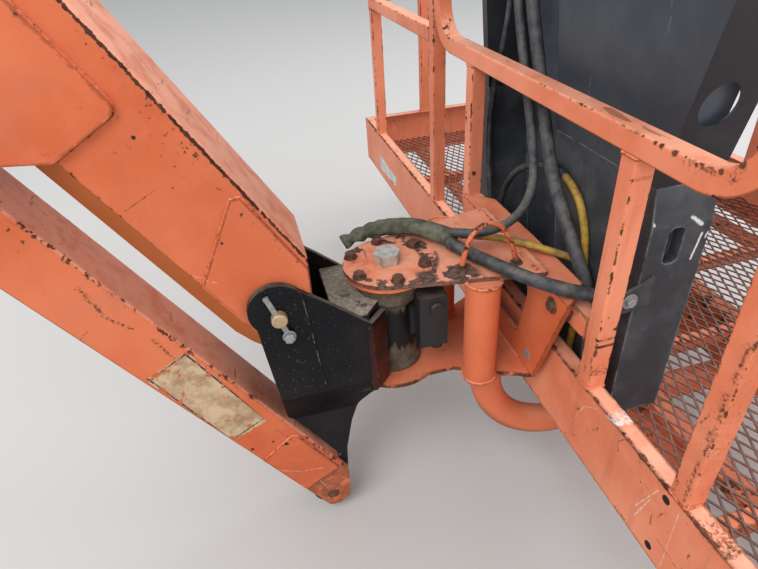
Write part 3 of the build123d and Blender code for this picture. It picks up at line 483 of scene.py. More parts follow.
def outline(node, keep):
    """The sharp edges of a CAD node whose two ends both pass keep, chained into runs."""
    mesh = nodes[node].data
    turns = {}
    spot = [tuple(round(c * 20000) for c in v.co) for v in mesh.vertices]
    for face in mesh.polygons:
        corners = list(face.vertices)
        for a, b in zip(corners, corners[1:] + corners[:1]):
            key = tuple(sorted((spot[a], spot[b])))
            turns.setdefault(key, []).append(face.normal.copy())
    place = {s: v.co.copy() for s, v in zip(spot, mesh.vertices)}
    near = {}
    for (a, b), normals in turns.items():
        sharp = len(normals) == 1 or min(n.dot(normals[0]) for n in normals) < 0.87
        if a != b and sharp and keep(place[a]) and keep(place[b]):
            near.setdefault(a, set()).add(b)
            near.setdefault(b, set()).add(a)
    runs = []
    while near:
        start = min(near, key=lambda p: (len(near[p]) != 1, p))
        run = [start]
        while near.get(run[-1]):
            after = min(near[run[-1]])
            near[run[-1]].discard(after)
            near[after].discard(run[-1])
            run.append(after)
        near = {p: n for p, n in near.items() if n}
        if len(run) > 1:
            runs.append([place[p] for p in run])
    return runs


def weld(lot, node, keep, radius):
    for run in outline(node, keep):
        closed = (run[0] - run[-1]).length < 1e-5 and len(run) > 3
        lot.bead(run[:-1] if closed else run, radius, closed)


def on_arm(*pairs):
    return [arm(s, 0, p) for s, p in pairs]


def on_link(*pairs):
    return [link(s, 0, p) for s, p in pairs]


def on_face(*pairs):
    return [plat(0, y, z) for y, z in pairs]


orange = worn_paint("worn_orange_paint", chips=0.70)


def rusty_end(s, chipped, halo):
    """The link's forked end is browned."""
    end = s.band(s.along(link(-72, 0, 0), ALONG), 0.0, 0.012)
    end = s.times(end, s.band(s.noise(40.0, 5.0, 0.7), 0.36, 0.56))
    return s.maths("MAXIMUM", chipped, s.times(end, 0.45)), s.maths("MAXIMUM", halo, end)


arm_paint = worn_paint(
    "arm_orange_paint", flat=(1, 0, 1), chips=0.715, edge=0.30, bleach=0.95, dirt=0.16, reach=0.005,
    size=105.0, sky=UP, rust=(RUST_DARK, (0.085, 0.034, 0.022)),
    rubbed=[(arm(0, ARM_HALF, ARM_TOP), UP, SIDE, 5, 0.28),
            (arm(0, ARM_HALF, ARM_TOP - 13), UP, SIDE, 22, 0.06),
            (arm(0, ARM_HALF, ARM_CHAMFER), UP, SIDE, 4, 0.08)],
    scratches=[(on_arm((-136, -49), (-121, -41), (-106, -31)), 1.3)],
    rust_lines=[(on_arm((-267, -41), (-264, 10)), 1.5)],
    rust_spots=[(arm(-330, -101, 40), 4), (arm(-505, -101, -30), 5), (arm(-150, -101, 20), 3)],
)
link_paint = worn_paint(
    "link_orange_paint", flat=(1, 0, 1), chips=0.70, edge=0.26, bleach=0.95, dirt=0.3, size=95.0, reach=0.006,
    extra=rusty_end, sky=UP, rust=(RUST_DARK, (0.11, 0.042, 0.024)),
    rubbed=[(link(0, LINK_HALF, LINK_TOP), UP, SIDE, 8, 0.15),
            (link(0, LINK_HALF, LINK_TOP - LINK_TALL), UP, SIDE, 7, 0.15)],
    scratches=[(on_link((-164, -28), (-122, 1), (-92, 39)), 1.6), (on_link((-60, 8), (-20, 2)), 1.3)],
    rust_lines=[(on_link((-700, 44), (-640, 30), (-600, 41)), 8.0), (on_link((-640, -8), (-632, -44)), 4.0),
                (on_link((-560, 46), (-505, 40)), 8.0), (on_link((-250, 44), (-205, 49)), 5.0)],
    rust_spots=[(link(-245, -51, -20), 5), (link(-230, -51, 20), 4), (link(-208, -51, 35), 6)],
)
rail_paint = worn_paint("rail_orange_paint", chips=0.70, edge=0.20, round_way=UPWARDS, dirt=0.2, bleach=0.9,
                        colours=PALE, size=75.0)
bow_paint = worn_paint(
    "u_rail_orange_paint", chips=0.73, edge=0.20, round_way=UPWARDS, dirt=0.12, bleach=0.9,
    colours=PALE, size=75.0,
    rust_lines=[(on_face((-346, 574), (-384, 576)), 10), (on_face((-224, 579), (-232, 578)), 7),
                (on_face((-246, 577), (-262, 577)), 8), (on_face((-408, 589), (-409, 578)), 12)],
    rust_spots=[(plat(0, -413, 596), 7), (plat(0, -392, 580), 5), (plat(0, -325, 575), 6),
                (plat(0, -303, 576), 5), (plat(0, -292, 576), 4), (plat(0, -270, 577), 3)],
)
post_paint = worn_paint(
    "post_orange_paint", flat=(0, 1, 1), chips=0.70, edge=0.20, round_way=FORWARD, dirt=0.4, size=70.0,
    colours=PALE,
    rust_lines=[(on_face((-490, 430), (-488, 410), (-488, 376)), 7), (on_face((-486, 352), (-489, 318)), 12),
                (on_face((-488, 302), (-490, 260)), 11), (on_face((-488, 242), (-487, 197), (-488, 164)), 8),
                (on_face((-477, 310), (-463, 277)), 3.5), (on_face((-465, 384), (-465, 370)), 7),
                (on_face((-469, 183), (-469, 160)), 7), (on_face((-264, 214), (-268, 183)), 6)],
    rust_spots=[(plat(0, -266, 255), 4.5), (plat(0, -268, 242), 4), (plat(0, -273, 519), 5)],
)
toe_paint = worn_paint(
    "toe_board_orange_paint", flat=(0, 1, 1), chips=0.70, edge=0.34, dirt=0.3, bleach=0.8, size=60.0,
    colours=PALE, rubbed=[(plat(0, 0, TOE_TALL), UPWARDS, FORWARD, 9, 0.20)],
    scratches=[(on_face((-423, 60), (-449, 131)), 2.2), (on_face((-426, 38), (-442, 101)), 2.6),
               (on_face((-245, 52), (-270, 115), (-302, 142)), 1.2), (on_face((-489, 135), (-493, 7)), 1.2),
               (on_face((-323, 150), (-347, 153)), 8.0), (on_face((-300, 40), (-318, 70)), 1.0)],
    rust_lines=[(on_face((-364, 111), (-358, 128), (-370, 150)), 3.5), (on_face((-453, 79), (-455, 60)), 6),
                (on_face((-390, 5), (-412, 6)), 6), (on_face((-474, 52), (-517, 46)), 4),
                (on_face((-515, 149), (-562, 152)), 10), (on_face((-468, 106), (-462, 86)), 4)],
)


def rotator_patches(s, chipped, halo):
    """Bare brown patches in a ring under the screws and along one side, and a dark rim."""
    away = s.away((SWING[0], SWING[1], FLOOR_Z + SCREW_UNDER))
    ring = s.times(s.band(away, 0.056, 0.064), s.less(s.band(away, 0.088, 0.096)))
    ring = s.times(ring, s.band(s.noise(24.0, 4.0, 0.6), 0.49, 0.515))
    side = s.band(s.along(plat(0, -48, 0), -SIDE), 0.0, 0.012)
    side = s.times(side, s.band(s.along(plat(-225, 0, 0), FORWARD), 0.0, 0.01))
    side = s.times(side, s.less(s.band(s.along(plat(-125, 0, 0), FORWARD), 0.0, 0.02)))
    side = s.times(side, s.band(s.noise(31.0, 4.0), 0.44, 0.47))
    rim = s.less(s.band(s.facing(UPWARDS), 0.1, 0.4))
    bare = s.maths("MAXIMUM", s.maths("MAXIMUM", ring, side), s.times(rim, 0.85))
    return s.maths("MAXIMUM", chipped, bare), s.maths("MAXIMUM", halo, bare)


def swept_dust(s, chipped, halo):
    """Brown edges on the bottom plate."""
    rim = s.times(s.less(s.band(s.facing(UPWARDS), 0.1, 0.4)), s.band(s.noise(40.0, 5.0, 0.7), 0.40, 0.47))
    return s.maths("MAXIMUM", chipped, rim), s.maths("MAXIMUM", halo, rim)


plate_paint = worn_paint("rotator_plate_orange_paint", chips=0.73, edge=0.25, dirt=0.3, bleach=0.8, size=85.0,
                         extra=rotator_patches, rust=((0.055, 0.032, 0.024), (0.17, 0.105, 0.078)))
bottom_paint = worn_paint("bottom_plate_orange_paint", chips=0.75, edge=0.25, dirt=0.5, bleach=0.2,
                          extra=swept_dust)
pipe_paint = worn_paint("clean_orange_paint", chips=0.77, edge=0.30, dirt=0.12, bleach=0.4, size=85.0)
bare_bead = worn_paint("weld_bead_paint", chips=0.66, edge=0.1, dirt=0.3, bleach=0.6, size=120.0)
guide_paint = worn_paint("bent_rod_paint", chips=0.545, edge=0.1, dirt=0.5, bleach=0.3, size=90.0)


def returns_red(s, colour):
    """Red primer that shows on the strips beside the rotator."""
    edge = s.times(s.band(s.along(fork(140, 0, 0), (1, 0, 0)), 0.0, 0.004),
                   s.less(s.band(s.along(fork(0, 0, -215), (0, 0, 1)), 0.14, 0.16)))
    return s.mix(s.times(edge, s.band(s.noise(15.0), 0.3, 0.6)), colour, (0.05, 0.008, 0.005))


black = gloss_black("gloss_black_paint", dust=0.55, tint=returns_red)
barrel_black = gloss_black("barrel_black_paint")


def cast_housing():
    """Black gearbox under tan dust, rubbed or washed off between its ends."""
    s = Shader("dusty_black_housing")
    high = s.along(plat(0, 0, 78), (0, 0, 1))
    drip = s.times(s.plus(s.noise(55.0, 4.0, 0.7, s.place((1, 1, 0.05))), -0.5), 0.11)
    level = s.plus(high, drip)
    washed = s.times(s.band(level, 0.040, 0.050), s.less(s.band(level, 0.128, 0.142)))
    washed = s.times(washed, s.band(s.along(SWING, -SIDE), -0.02, 0.012))
    tan = s.mix(s.band(s.noise(40.0, 6.0, 0.7), 0.35, 0.68), (0.075, 0.056, 0.038), (0.145, 0.113, 0.080))
    tan = s.mix(s.band(s.noise(9.0, 5.0, 0.7), 0.52, 0.7), tan, (0.05, 0.042, 0.033))
    colour = s.mix(s.times(washed, 0.97), tan, (0.006, 0.006, 0.007))
    s.bump(s.noise(160.0, 5.0, 0.7), 0.0006)
    return s.finish(colour, s.plus(0.86, s.times(washed, -0.36)), 0.0, 0.22)


def dusty_shelf():
    """Grey dust and grit thick on the bracket's cap."""
    s = Shader("dusty_black_shelf")
    top = s.band(s.facing(UPWARDS), 0.3, 0.9)
    grit = s.band(s.noise(120.0, 6.0, 0.75), 0.44, 0.62)
    dust = s.mix(grit, (0.235, 0.212, 0.165), (0.40, 0.365, 0.295))
    cover = s.times(top, s.less(s.times(s.band(s.noise(24.0, 6.0, 0.75), 0.6, 0.66), 0.7)))
    s.bump(s.noise(300.0, 4.0, 0.7), 0.0008)
    return s.finish(s.mix(cover, (0.011, 0.011, 0.012), dust), s.plus(0.3, s.times(cover, 0.6)))


def bolt_metal():
    """Rusty screws, with the big centre hexagon left bright."""
    s = Shader("rotator_bolt_metal")
    middle = s.less(s.band(s.away((SWING[0], SWING[1], FLOOR_Z + SCREW_MIDDLE)), 0.027, 0.029))
    rust = s.mix(s.band(s.noise(130.0, 5.0, 0.7), 0.35, 0.66), (0.045, 0.018, 0.012), (0.17, 0.075, 0.045))
    bright = s.mix(s.band(s.noise(80.0, 5.0, 0.7), 0.4, 0.7), (0.56, 0.56, 0.52), (0.33, 0.35, 0.31))
    s.bump(s.noise(180.0, 4.0), 0.0004)
    metal = s.times(middle, 0.55)
    return s.finish(s.mix(middle, rust, bright), s.plus(0.8, s.times(middle, -0.36)), metal)


def console_black():
    """Scuffed black sheet, blue-grey on its rear face."""
    s = Shader("console_black_paint")
    front = s.less(s.band(s.along(plat(66, 0, 0), FORWARD), 0.0015, 0.004))
    rear = s.times(front, s.band(s.facing(-FORWARD), 0.4, 0.8))
    deep = s.times(s.band(s.facing(-FORWARD), 0.4, 0.8), s.band(s.along(plat(66, 0, 0), FORWARD), 0.02, 0.04))
    cloud = s.noise(6.0, 6.0, 0.68)
    colour = s.mix(s.times(s.band(cloud, 0.45, 0.75), 0.6), (0.014, 0.0155, 0.019), (0.045, 0.048, 0.055))
    blue = s.mix(s.band(s.noise(11.0, 6.0, 0.65), 0.4, 0.7), (0.070, 0.088, 0.112), (0.110, 0.130, 0.155))
    colour = s.mix(s.times(rear, 0.35), colour, blue)
    colour = s.mix(s.times(deep, 0.95), colour, blue)
    hair = s.band(s.noise(60.0, 7.0, 0.8, s.place((0.5, 1.0, 0.16))), 0.63, 0.66)
    colour = s.mix(s.times(hair, 0.35), colour, (0.28, 0.28, 0.28))
    s.bump(s.noise(90.0, 4.0), 0.0004)
    return s.finish(colour, s.plus(0.36, s.times(cloud, 0.3)), 0.0, 0.4)


def foot_plastic():
    """Moulded black cover with pale rubbed edges."""
    s = Shader("console_foot_plastic")
    cloud = s.noise(9.0, 6.0, 0.7)
    colour = s.mix(s.band(cloud, 0.4, 0.72), (0.026, 0.031, 0.037), (0.078, 0.088, 0.100))
    worn = s.times(s.edges(0.006), s.band(s.noise(26.0, 5.0, 0.7), 0.40, 0.55))
    colour = s.mix(s.times(worn, 0.75), colour, (0.33, 0.35, 0.37))
    marks = 0.0
    for a, b, width in (((130, 433), (149, 418), 4.0), ((154, 402), (147, 360), 2.6),
                        ((164, 402), (162, 394), 2.4), ((66, 438), (69, 430), 3.0)):
        line = s.stroke([plat(a[0], -250, a[1]), plat(b[0], -250, b[1])], width * MM, 0.4)
        marks = s.maths("MAXIMUM", marks, line)
    colour = s.mix(s.times(marks, 0.95), colour, (0.78, 0.79, 0.80))
    s.bump(s.plus(s.noise(500.0, 2.0), s.times(cloud, 0.5)), 0.0004)
    return s.finish(colour, s.plus(0.42, s.times(cloud, 0.25)))


def deck_metal():
    """Rusty expanded metal, its tops polished tan."""
    s = Shader("expanded_deck_metal")
    top = s.band(s.facing(UPWARDS), 0.2, 0.8)
    n = s.band(s.noise(14.0, 6.0, 0.72), 0.36, 0.68)
    low = s.mix(n, (0.035, 0.013, 0.009), (0.14, 0.038, 0.020))
    high = s.mix(s.band(s.noise(60.0, 5.0, 0.7), 0.35, 0.65), (0.095, 0.046, 0.035), (0.21, 0.13, 0.105))
    fresh = s.band(s.noise(2.2, 3.0), 0.46, 0.6)
    low = s.mix(s.times(fresh, 0.6), low, (0.36, 0.085, 0.035))
    s.bump(s.noise(400.0, 3.0), 0.0003)
    return s.finish(s.mix(s.times(top, 0.8), low, high), 0.66, s.times(top, 0.25))


def canvas():
    """Grey-green sleeve cloth, faded along its folds."""
    s = Shader("sleeve_canvas")
    folds = s.noise(34.0, 6.0, 0.7)
    weave = s.noise(900.0, 2.0)
    colour = s.mix(s.band(folds, 0.35, 0.68), (0.056, 0.061, 0.041), (0.165, 0.165, 0.120))
    top = s.times(s.band(s.facing(UPWARDS), 0.2, 0.9), s.band(s.noise(50.0, 5.0), 0.42, 0.62))
    colour = s.mix(s.times(top, 0.4), colour, (0.20, 0.19, 0.15))
    s.bump(s.plus(s.times(weave, 0.35), s.times(folds, 0.9)), 0.0016)
    return s.finish(colour, 0.92, 0.0, 0.2)


def hose_cover(name, colour, other, dust):
    s = Shader(name)
    n = s.noise(46.0, 6.0, 0.7)
    ribs = s.noise(190.0, 3.0)
    body = s.mix(s.band(n, 0.38, 0.66), colour, other)
    top = s.times(s.band(s.facing(UPWARDS), 0.0, 0.9), s.band(s.noise(30.0, 5.0, 0.7), 0.35, 0.65), dust)
    body = s.mix(top, body, (0.19, 0.175, 0.15))
    s.bump(s.plus(s.times(ribs, 0.4), n), 0.0006)
    return s.finish(body, s.plus(0.42, s.times(n, 0.3), s.times(top, 0.25)), 0.0, 0.4)


def bare_label(name, start, wide, tall, paper, stain, border, worn):
    """A blank plate with a broken border; start, wide and tall are its corner and its two sides."""
    s = Shader(name)
    u = s.maths("DIVIDE", s.along(start, wide), wide.length_squared)
    v = s.maths("DIVIDE", s.along(start, tall), tall.length_squared)
    rim_u = s.maths("ABSOLUTE", s.plus(u, -0.5))
    rim_v = s.maths("ABSOLUTE", s.plus(v, -0.5))
    line = s.maths("MAXIMUM", s.times(s.band(rim_u, 0.468, 0.474), s.less(s.band(rim_u, 0.482, 0.486))),
                   s.times(s.band(rim_v, 0.42, 0.435), s.less(s.band(rim_v, 0.46, 0.475))))
    kept = s.band(s.noise(60.0, 6.0, 0.75), 0.40, 0.50)
    cloud = s.band(s.noise(24.0, 6.0, 0.7), 0.38, 0.66)
    colour = s.mix(cloud, paper, stain)
    ink = s.times(line, border, kept)
    colour = s.mix(ink, colour, (0.022, 0.018, 0.016))
    rim = s.times(s.maths("MAXIMUM", rim_u, rim_v), 0.35)
    gone = s.band(s.plus(s.noise(38.0, 6.0, 0.72), rim), worn, worn + 0.02)
    colour = s.mix(gone, colour, (0.50, 0.12, 0.04))
    s.bump(gone, 0.0002)
    return s.finish(colour, 0.5, 0.0, 0.3)


DECAL = [link(s, -50.85, p) for s, p in ((-512, -22), (-290, -26), (-284, 48), (-508, 65))]
LABEL = [plat(-0.05, y, z) for y, z in ((1038, 77), (1029, 25), (834, 32), (828, 69))]
decal_plate = bare_label("blank_decal", DECAL[0], DECAL[1] - DECAL[0], DECAL[3] - DECAL[0],
                         (0.58, 0.43, 0.27), (0.33, 0.20, 0.11), 1.0, 0.70)
label_plate = bare_label("blank_label", LABEL[1], LABEL[2] - LABEL[1], LABEL[0] - LABEL[1],
                         (0.70, 0.68, 0.66), (0.52, 0.47, 0.44), 0.0, 0.78)
rusty = plain("rusty_steel", (0.075, 0.032, 0.02), 0.75, 0.2, 0.9, 60.0, (0.20, 0.08, 0.04), 0.2)
zinc = plain("dull_zinc", (0.42, 0.40, 0.36), 0.36, 0.8, 0.7, 60.0, (0.22, 0.20, 0.17), 0.3)
yellow_zinc = plain("yellow_zinc", (0.52, 0.38, 0.22), 0.42, 0.45, 0.8, 90.0, (0.30, 0.21, 0.12))
pale_steel = plain("pale_steel", (0.36, 0.36, 0.365), 0.42, 0.5, 0.7, 90.0, (0.20, 0.20, 0.205))
chrome = plain("hard_chrome", (0.6, 0.6, 0.62), 0.08, 1.0, 0.1)
cast_black = plain("valve_black", (0.006, 0.0065, 0.007), 0.5, 0.0, 0.4, 24.0, (0.022, 0.021, 0.019), 0.4)
# Near-black paint for the toe board's drain holes: painted shade on thin discs in place of open holes
painted_hole_shade = plain("painted_hole_shade", (0.006, 0.005, 0.005), 0.9)
# Blue-grey paint of the console's inner sheet, lightened as painted light for the dark cavity it sits in
inner_blue_with_painted_light = plain("console_inner_paint_with_painted_light", (0.085, 0.108, 0.135), 0.5, 0.0, 0.5, 12.0, (0.062, 0.078, 0.098))
box_plastic = plain("control_box_plastic", (0.04, 0.042, 0.046), 0.5, 0.0, 0.7, 9.0, (0.11, 0.11, 0.11), 0.5)
rubber = plain("dusty_rubber", (0.028, 0.028, 0.028), 0.75, 0.0, 0.6, 24.0, (0.08, 0.075, 0.07), 0.5)
floor_steel = worn_paint("floor_bar_paint", chips=0.60, edge=0.2, dirt=0.7, bleach=0.1, size=30.0)
hose_black = hose_cover("black_hose_cover", (0.020, 0.023, 0.028), (0.062, 0.068, 0.076), 0.7)
hose_yellow = hose_cover("yellow_hose_cover", (0.50, 0.30, 0.035), (0.20, 0.13, 0.035), 0.5)

by_slot = {
    "orange_paint": orange, "black_paint": black, "rusty_steel": rusty, "zinc_steel": zinc,
    "chrome_rod": chrome, "plastic_grey": foot_plastic(), "rubber_black": rubber, "hose_rubber": hose_black,
    "aluminium_block": cast_black, "galvanised": rusty,
}
own = {
    "upper_arm": arm_paint, "lower_link": link_paint, "toe_boards": toe_paint, "floor_bars": floor_steel,
    "support_beams": floor_steel, "u_rail": bow_paint, "posts": post_paint, "gate": post_paint,
    "rotator_top_plate": plate_paint, "support_pipes": pipe_paint, "support_elbows": pipe_paint,
    "mount_plate": pipe_paint, "hose_guide": guide_paint, "rotator_housing": cast_housing(),
    "fork_shelves": dusty_shelf(), "rotator_bolts": bolt_metal(), "console_panel": console_black(),
    "cylinder_barrel": barrel_black, "control_box": box_plastic, "arm_end_pin": zinc,
    "rotator_bottom_plate": bottom_paint,
}
own.update({name: rail_paint for name in ("top_rails", "mid_rails", "low_rail")})
for part in frame["record"]["subparts"]:
    piece = nodes[part["node"]]
    piece.data.materials.clear()
    piece.data.materials.append(own.get(part["node"], by_slot[part["material_slot"]]))

# Welds
arm_welds = Lot()
weld(arm_welds, "rod_lugs",
     lambda p: abs(abs(p.y) - ARM_HALF * MM) < 1e-4 and (p - ARM_END).dot(UP) > -0.052, 3.4 * MM)
for side in (-1, 1):
    arm_welds.bead([arm(s, side * 77, p) for s, p in
                    ((-150, 85), (-186, 85), (-192, 72), (-113, -50.5), (-20, -50.5))], 3.0 * MM)
arm_welds.make("weld_beads_arm", bare_bead, "arm")

link_welds = Lot()
for side in (-1, 1):
    link_welds.bead([link(s, side * 51.4, p) for s, p in
                     ((-150, 62), (-207, 62), (-215, 54), (-204, -25), (-70, -25))], 2.6 * MM)
link_welds.make("weld_beads_link", bare_bead, "link")

frame_welds = Lot()
weld(frame_welds, "posts", lambda p: True, 2.4 * MM)
weld(frame_welds, "support_pipes", lambda p: True, 3.6 * MM)
frame_welds.bead([plat(-25, -118, 298), plat(-25, 118, 298)], 3.6 * MM)
frame_welds.bead([plat(-25, -90, 76), plat(-25, 90, 76)], 3.6 * MM)
frame_welds.make("weld_beads_platform", bare_bead, "platform")

bracket_welds = Lot()
weld(bracket_welds, "fork_shelves", lambda p: abs(p.y) > 0.0813 and p.z > FLOOR_Z + 0.2425, 3.2 * MM)
bracket_welds.make("weld_beads_bracket", own["fork_shelves"], "fork")

# Bracket: doubler round the pivot on each side, with its edge
doubler = Lot()
turns = [math.radians(28 + 190 * k / 22) for k in range(23)]
rim = [(47 * math.cos(a), 11 + 47 * math.sin(a)) for a in turns]
corners = rim + [(-35, -50), (-25, -170), (57, -167)]
for side in (-1, 1):
    doubler.plate([fork(x, side * BRACKET_HALF, z) for x, z in corners][::side], SIDE * side * 2.6 * MM)
    doubler.tube([fork(x, side * 94.2, z) for x, z in ((57, -166), rim[0])], 0.9 * MM, 8)
doubler.make("bracket_doublers", black, "fork")

# Sheet behind the round hole in the console's side; its blue-grey paint is lightened as painted light, since the
# cavity behind the hole gets little real light
inner = Lot()
sheet = ((72, -236, 540), (146, -236, 540), (146, -257, 650), (72, -257, 650))
inner.plate([plat(*corner) for corner in sheet], SIDE * 2 * MM)
inner.make("console_inner_sheet", inner_blue_with_painted_light, "platform")

# The arm's end pin, its keeper bar and bolt
pin = Lot()
pin.rod(fork(0, 0, 0), fork(0, -109, 0), 12.7 * MM, 40, 1.6 * MM)
pin.rod(fork(0, 0, 0), fork(0, 104, 0), 12.7 * MM, 40, 1.6 * MM)
pin.make("arm_end_pivot_pin", yellow_zinc, "fork")
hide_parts("arm_end_pin")
keeper = Lot()
KEEPER_THICK = 5.0
bar = [(-18.5, 41.5), (-10.5, 44), (14.5, -37), (6.5, -39.5)]
keeper.plate([fork(x, -KEEPER_FACE, z) for x, z in bar][::-1], -SIDE * KEEPER_THICK * MM)
keeper_face = -KEEPER_FACE - KEEPER_THICK
keeper.bolt(fork(10.5, keeper_face, -38), -SIDE, 9.5 * MM, 8 * MM, 11 * MM)
keeper.bolt(fork(-14.5, keeper_face, 41), -SIDE, 4.5 * MM, 2.5 * MM)
keeper.make("pin_keeper_and_bolt", pale_steel, "fork")

# Small fasteners of the platform
rust_screws = Lot()
rust_screws.bolt(plat(-140, -68, 297.1), UPWARDS, 7.5 * MM, 6 * MM, 12 * MM)
rust_screws.bolt(plat(-46, -84, 297.1), UPWARDS, 7.5 * MM, 6 * MM, 11 * MM)
rust_screws.bolt(plat(-24, -174, 263), -FORWARD, 10 * MM, 6 * MM, 15 * MM)
rust_screws.rod(plat(11, 237.4, 323), plat(11, 235.6, 323), 4.5 * MM, 20)
rust_screws.make("rusty_fasteners", rusty, "platform")
bright_screws = Lot()
bright_screws.rod(plat(-24, -117, 108), plat(-26, -117, 108), 11 * MM, 32, 0.6 * MM)
bright_screws.bolt(plat(52, -256, 309), -SIDE, 8 * MM, 6 * MM, 13 * MM)
bright_screws.make("zinc_fasteners", pale_steel, "platform")
lug = Lot()
lug_rim = [(47 + 19 * math.cos(a), 306 + 19 * math.sin(a)) for a in
           (math.radians(100 + 190 * k / 16) for k in range(17))]
lug.plate([plat(x, -251, z) for x, z in lug_rim + [(88, 296), (88, 344)]][::-1], SIDE * -5 * MM)
lug.make("console_lug", rubber, "platform")
# The toe board's two drain holes are thin black discs on its face: painted shade, not open holes
holes = Lot()
for y, z, r in ((-465, 132, 7), (-464, 20, 7)):
    holes.rod(plat(-0.02, y, z), plat(-0.35, y, z), r * MM, 24)
holes.make("toe_board_drain_hole_shades", painted_hole_shade, "platform")

# Blank plates
for name, corners, way, paint, body, slot in (
    ("blank_decal", DECAL, SIDE * -0.4 * MM, decal_plate, "link", "orange_paint"),
    ("blank_label", LABEL, FORWARD * -0.4 * MM, label_plate, "platform", "orange_paint"),
):
    sign = Lot()
    sign.plate(corners, way)
    sign.make(name, paint, body)

# Deck of expanded metal: zigzag strands whose bonds make diamonds
SHORT_WAY = 23.0 * MM
LONG_WAY = 50.0 * MM
STRAND = 2.0 * MM
deck_low, deck_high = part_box("floor_deck")
rows = int(2 * (deck_high[0] - deck_low[0]) / SHORT_WAY) - 1
steps = int(2 * (deck_high[1] - deck_low[1]) / LONG_WAY)
inset_x = deck_low[0] + (deck_high[0] - deck_low[0] - (rows + 1) * SHORT_WAY / 2) / 2
inset_y = deck_low[1] + (deck_high[1] - deck_low[1] - steps * LONG_WAY / 2) / 2
mesh_deck = Lot()
for row in range(rows + 1):
    first = len(mesh_deck.points)
    for step in range(steps + 1):
        even = step % 2 == 0
        x = SHORT_WAY * ((row + 1) // 2) if even else SHORT_WAY * (row // 2 + 0.5)
        lift = 0.5 * MM if (row + step) % 2 else 0.0
        x = min(max(inset_x + x, deck_low[0] + STRAND), deck_high[0] - STRAND)
        y = inset_y + step * LONG_WAY / 2
        for dx, z in ((-STRAND, 0.0), (STRAND, 0.3 * MM), (STRAND, 2.5 * MM), (-STRAND, 2.2 * MM)):
            mesh_deck.points.append(Vector((x + dx, y, deck_low[2] + z + lift)))
    for step in range(steps):
        a = first + 4 * step
        for k in range(4):
            n = (k + 1) % 4
            mesh_deck.faces.append((a + k, a + 4 + k, a + 4 + n, a + n))
deck_piece = mesh_deck.make("expanded_metal_deck", deck_metal(), "platform")
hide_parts("floor_deck")

# Hoses, each on the route of its CAD solid. Points are from the platform's near face and underside.
HOSES = (
    ("hose_lift", 16, 841, "medium", hose_black, (
        (-135, -9.5, 336), (-112, -31, 339), (-77, -45, 345), (-39, -45, 357), (-4, -29, 377), (20, -1, 406),
        (32, 33, 446), (39, 70, 500), (44, 112, 566), (50, 156, 640), (56, 196, 720), (62, 223, 810),
        (66, 237, 900), (68, 240, 984.7))),
    ("hose_main", 23, 310, "stiff", hose_black, (
        (-139, -7.5, 313.5), (-122, -45, 313), (-101, -84, 312.5), (-79, -122, 312), (-54, -158, 310),
        (-24, -187, 306), (10, -206, 300), (42, -219, 290), (60, -226, 284))),
    ("hose_supply", 23, 1056, "medium", hose_black, (
        (64, 206, 984.7), (65, 203, 910), (65.5, 191, 830), (65, 171, 745), (64.5, 141, 665), (64, 106, 590),
        (60, 68, 524), (49, 21, 468), (38.4, -32, 412), (37.5, -86, 364), (39.5, -128, 318), (47, -158, 277),
        (48, -178, 226), (48.5, -190, 170), (48.5, -193, 112), (48, -192, 49.6))),
    ("hose_loop", 13, 930, "medium", None, (
        (57, 206, 49.6), (58, 208, 100), (60, 210, 156), (62, 210, 214), (62, 200, 270), (61, 177, 318),
        (60, 142, 357), (58.5, 98, 387), (58.7, 48, 410), (58.7, -2, 421), (58.7, -48, 418), (58.7, -86, 398),
        (58.8, -110, 362), (58.8, -123, 318), (58.7, -129, 268), (57, -132, 216), (54, -133, 164),
        (52, -133, 106), (51, -132, 49.6))),
    ("hose_return", 13, 210, "medium", hose_yellow, (
        (-117, -2, 322.5), (-95, -9, 320), (-67, -15, 315.5), (-38, -26, 311), (-11, -46, 307),
        (11, -67, 304), (32, -83, 299.5), (48, -93, 294), (60.6, -101, 289))),
    ("hose_signal", 11, 946, "medium", hose_black, (
        (88, 268, 984.7), (88, 268.5, 930), (86, 266, 870), (82, 260, 810), (78, 249, 750), (74, 240, 690),
        (68, 234, 630), (60, 236, 570), (54, 246, 510), (50, 254, 450), (48, 250, 390), (46, 238, 334),
        (45, 222, 280), (44, 208, 226), (44, 200, 170), (44.5, 197, 110), (44, 197, 49.6))),
)
SLEEVE = (
    (-314, 90, 298), (-284, 98, 304), (-250.7, 98, 310), (-218, 89.2, 314.5), (-189.2, 72.9, 317),
    (-165.7, 50.4, 318.5), (-147.8, 23.9, 319.5), (-134, -4, 320.5))


def two_tone_hose():
    """Yellow hose that is blackened where it comes up behind the middle post."""
    s = Shader("two_tone_hose_cover")
    n = s.noise(46.0, 6.0, 0.7)
    dark = s.mix(s.band(n, 0.38, 0.66), (0.020, 0.022, 0.026), (0.060, 0.064, 0.070))
    light = s.mix(s.band(n, 0.36, 0.64), (0.52, 0.31, 0.035), (0.24, 0.15, 0.035))
    left = s.band(s.along((0, -0.04, 0), SIDE), 0.0, 0.006)
    s.bump(n, 0.0006)
    return s.finish(s.mix(left, light, dark), 0.5, 0.0, 0.4)


def route(name, points, radius):
    """A curve of one open NURBS spline, drawn as a round cord."""
    line = bpy.data.curves.new(name, "CURVE")
    line.dimensions = "3D"
    spline = line.splines.new("NURBS")
    spline.points.add(len(points) - 1)
    for knot, point in zip(spline.points, points):
        knot.co = (*plat(*point), 1)
    spline.order_u = 3
    spline.use_endpoint_u = True
    spline.resolution_u = 12
    line.bevel_depth = radius
    line.bevel_resolution = 6
    line.use_fill_caps = True
    piece = bpy.data.objects.new(name, line)
    bpy.context.collection.objects.link(piece)
    return piece


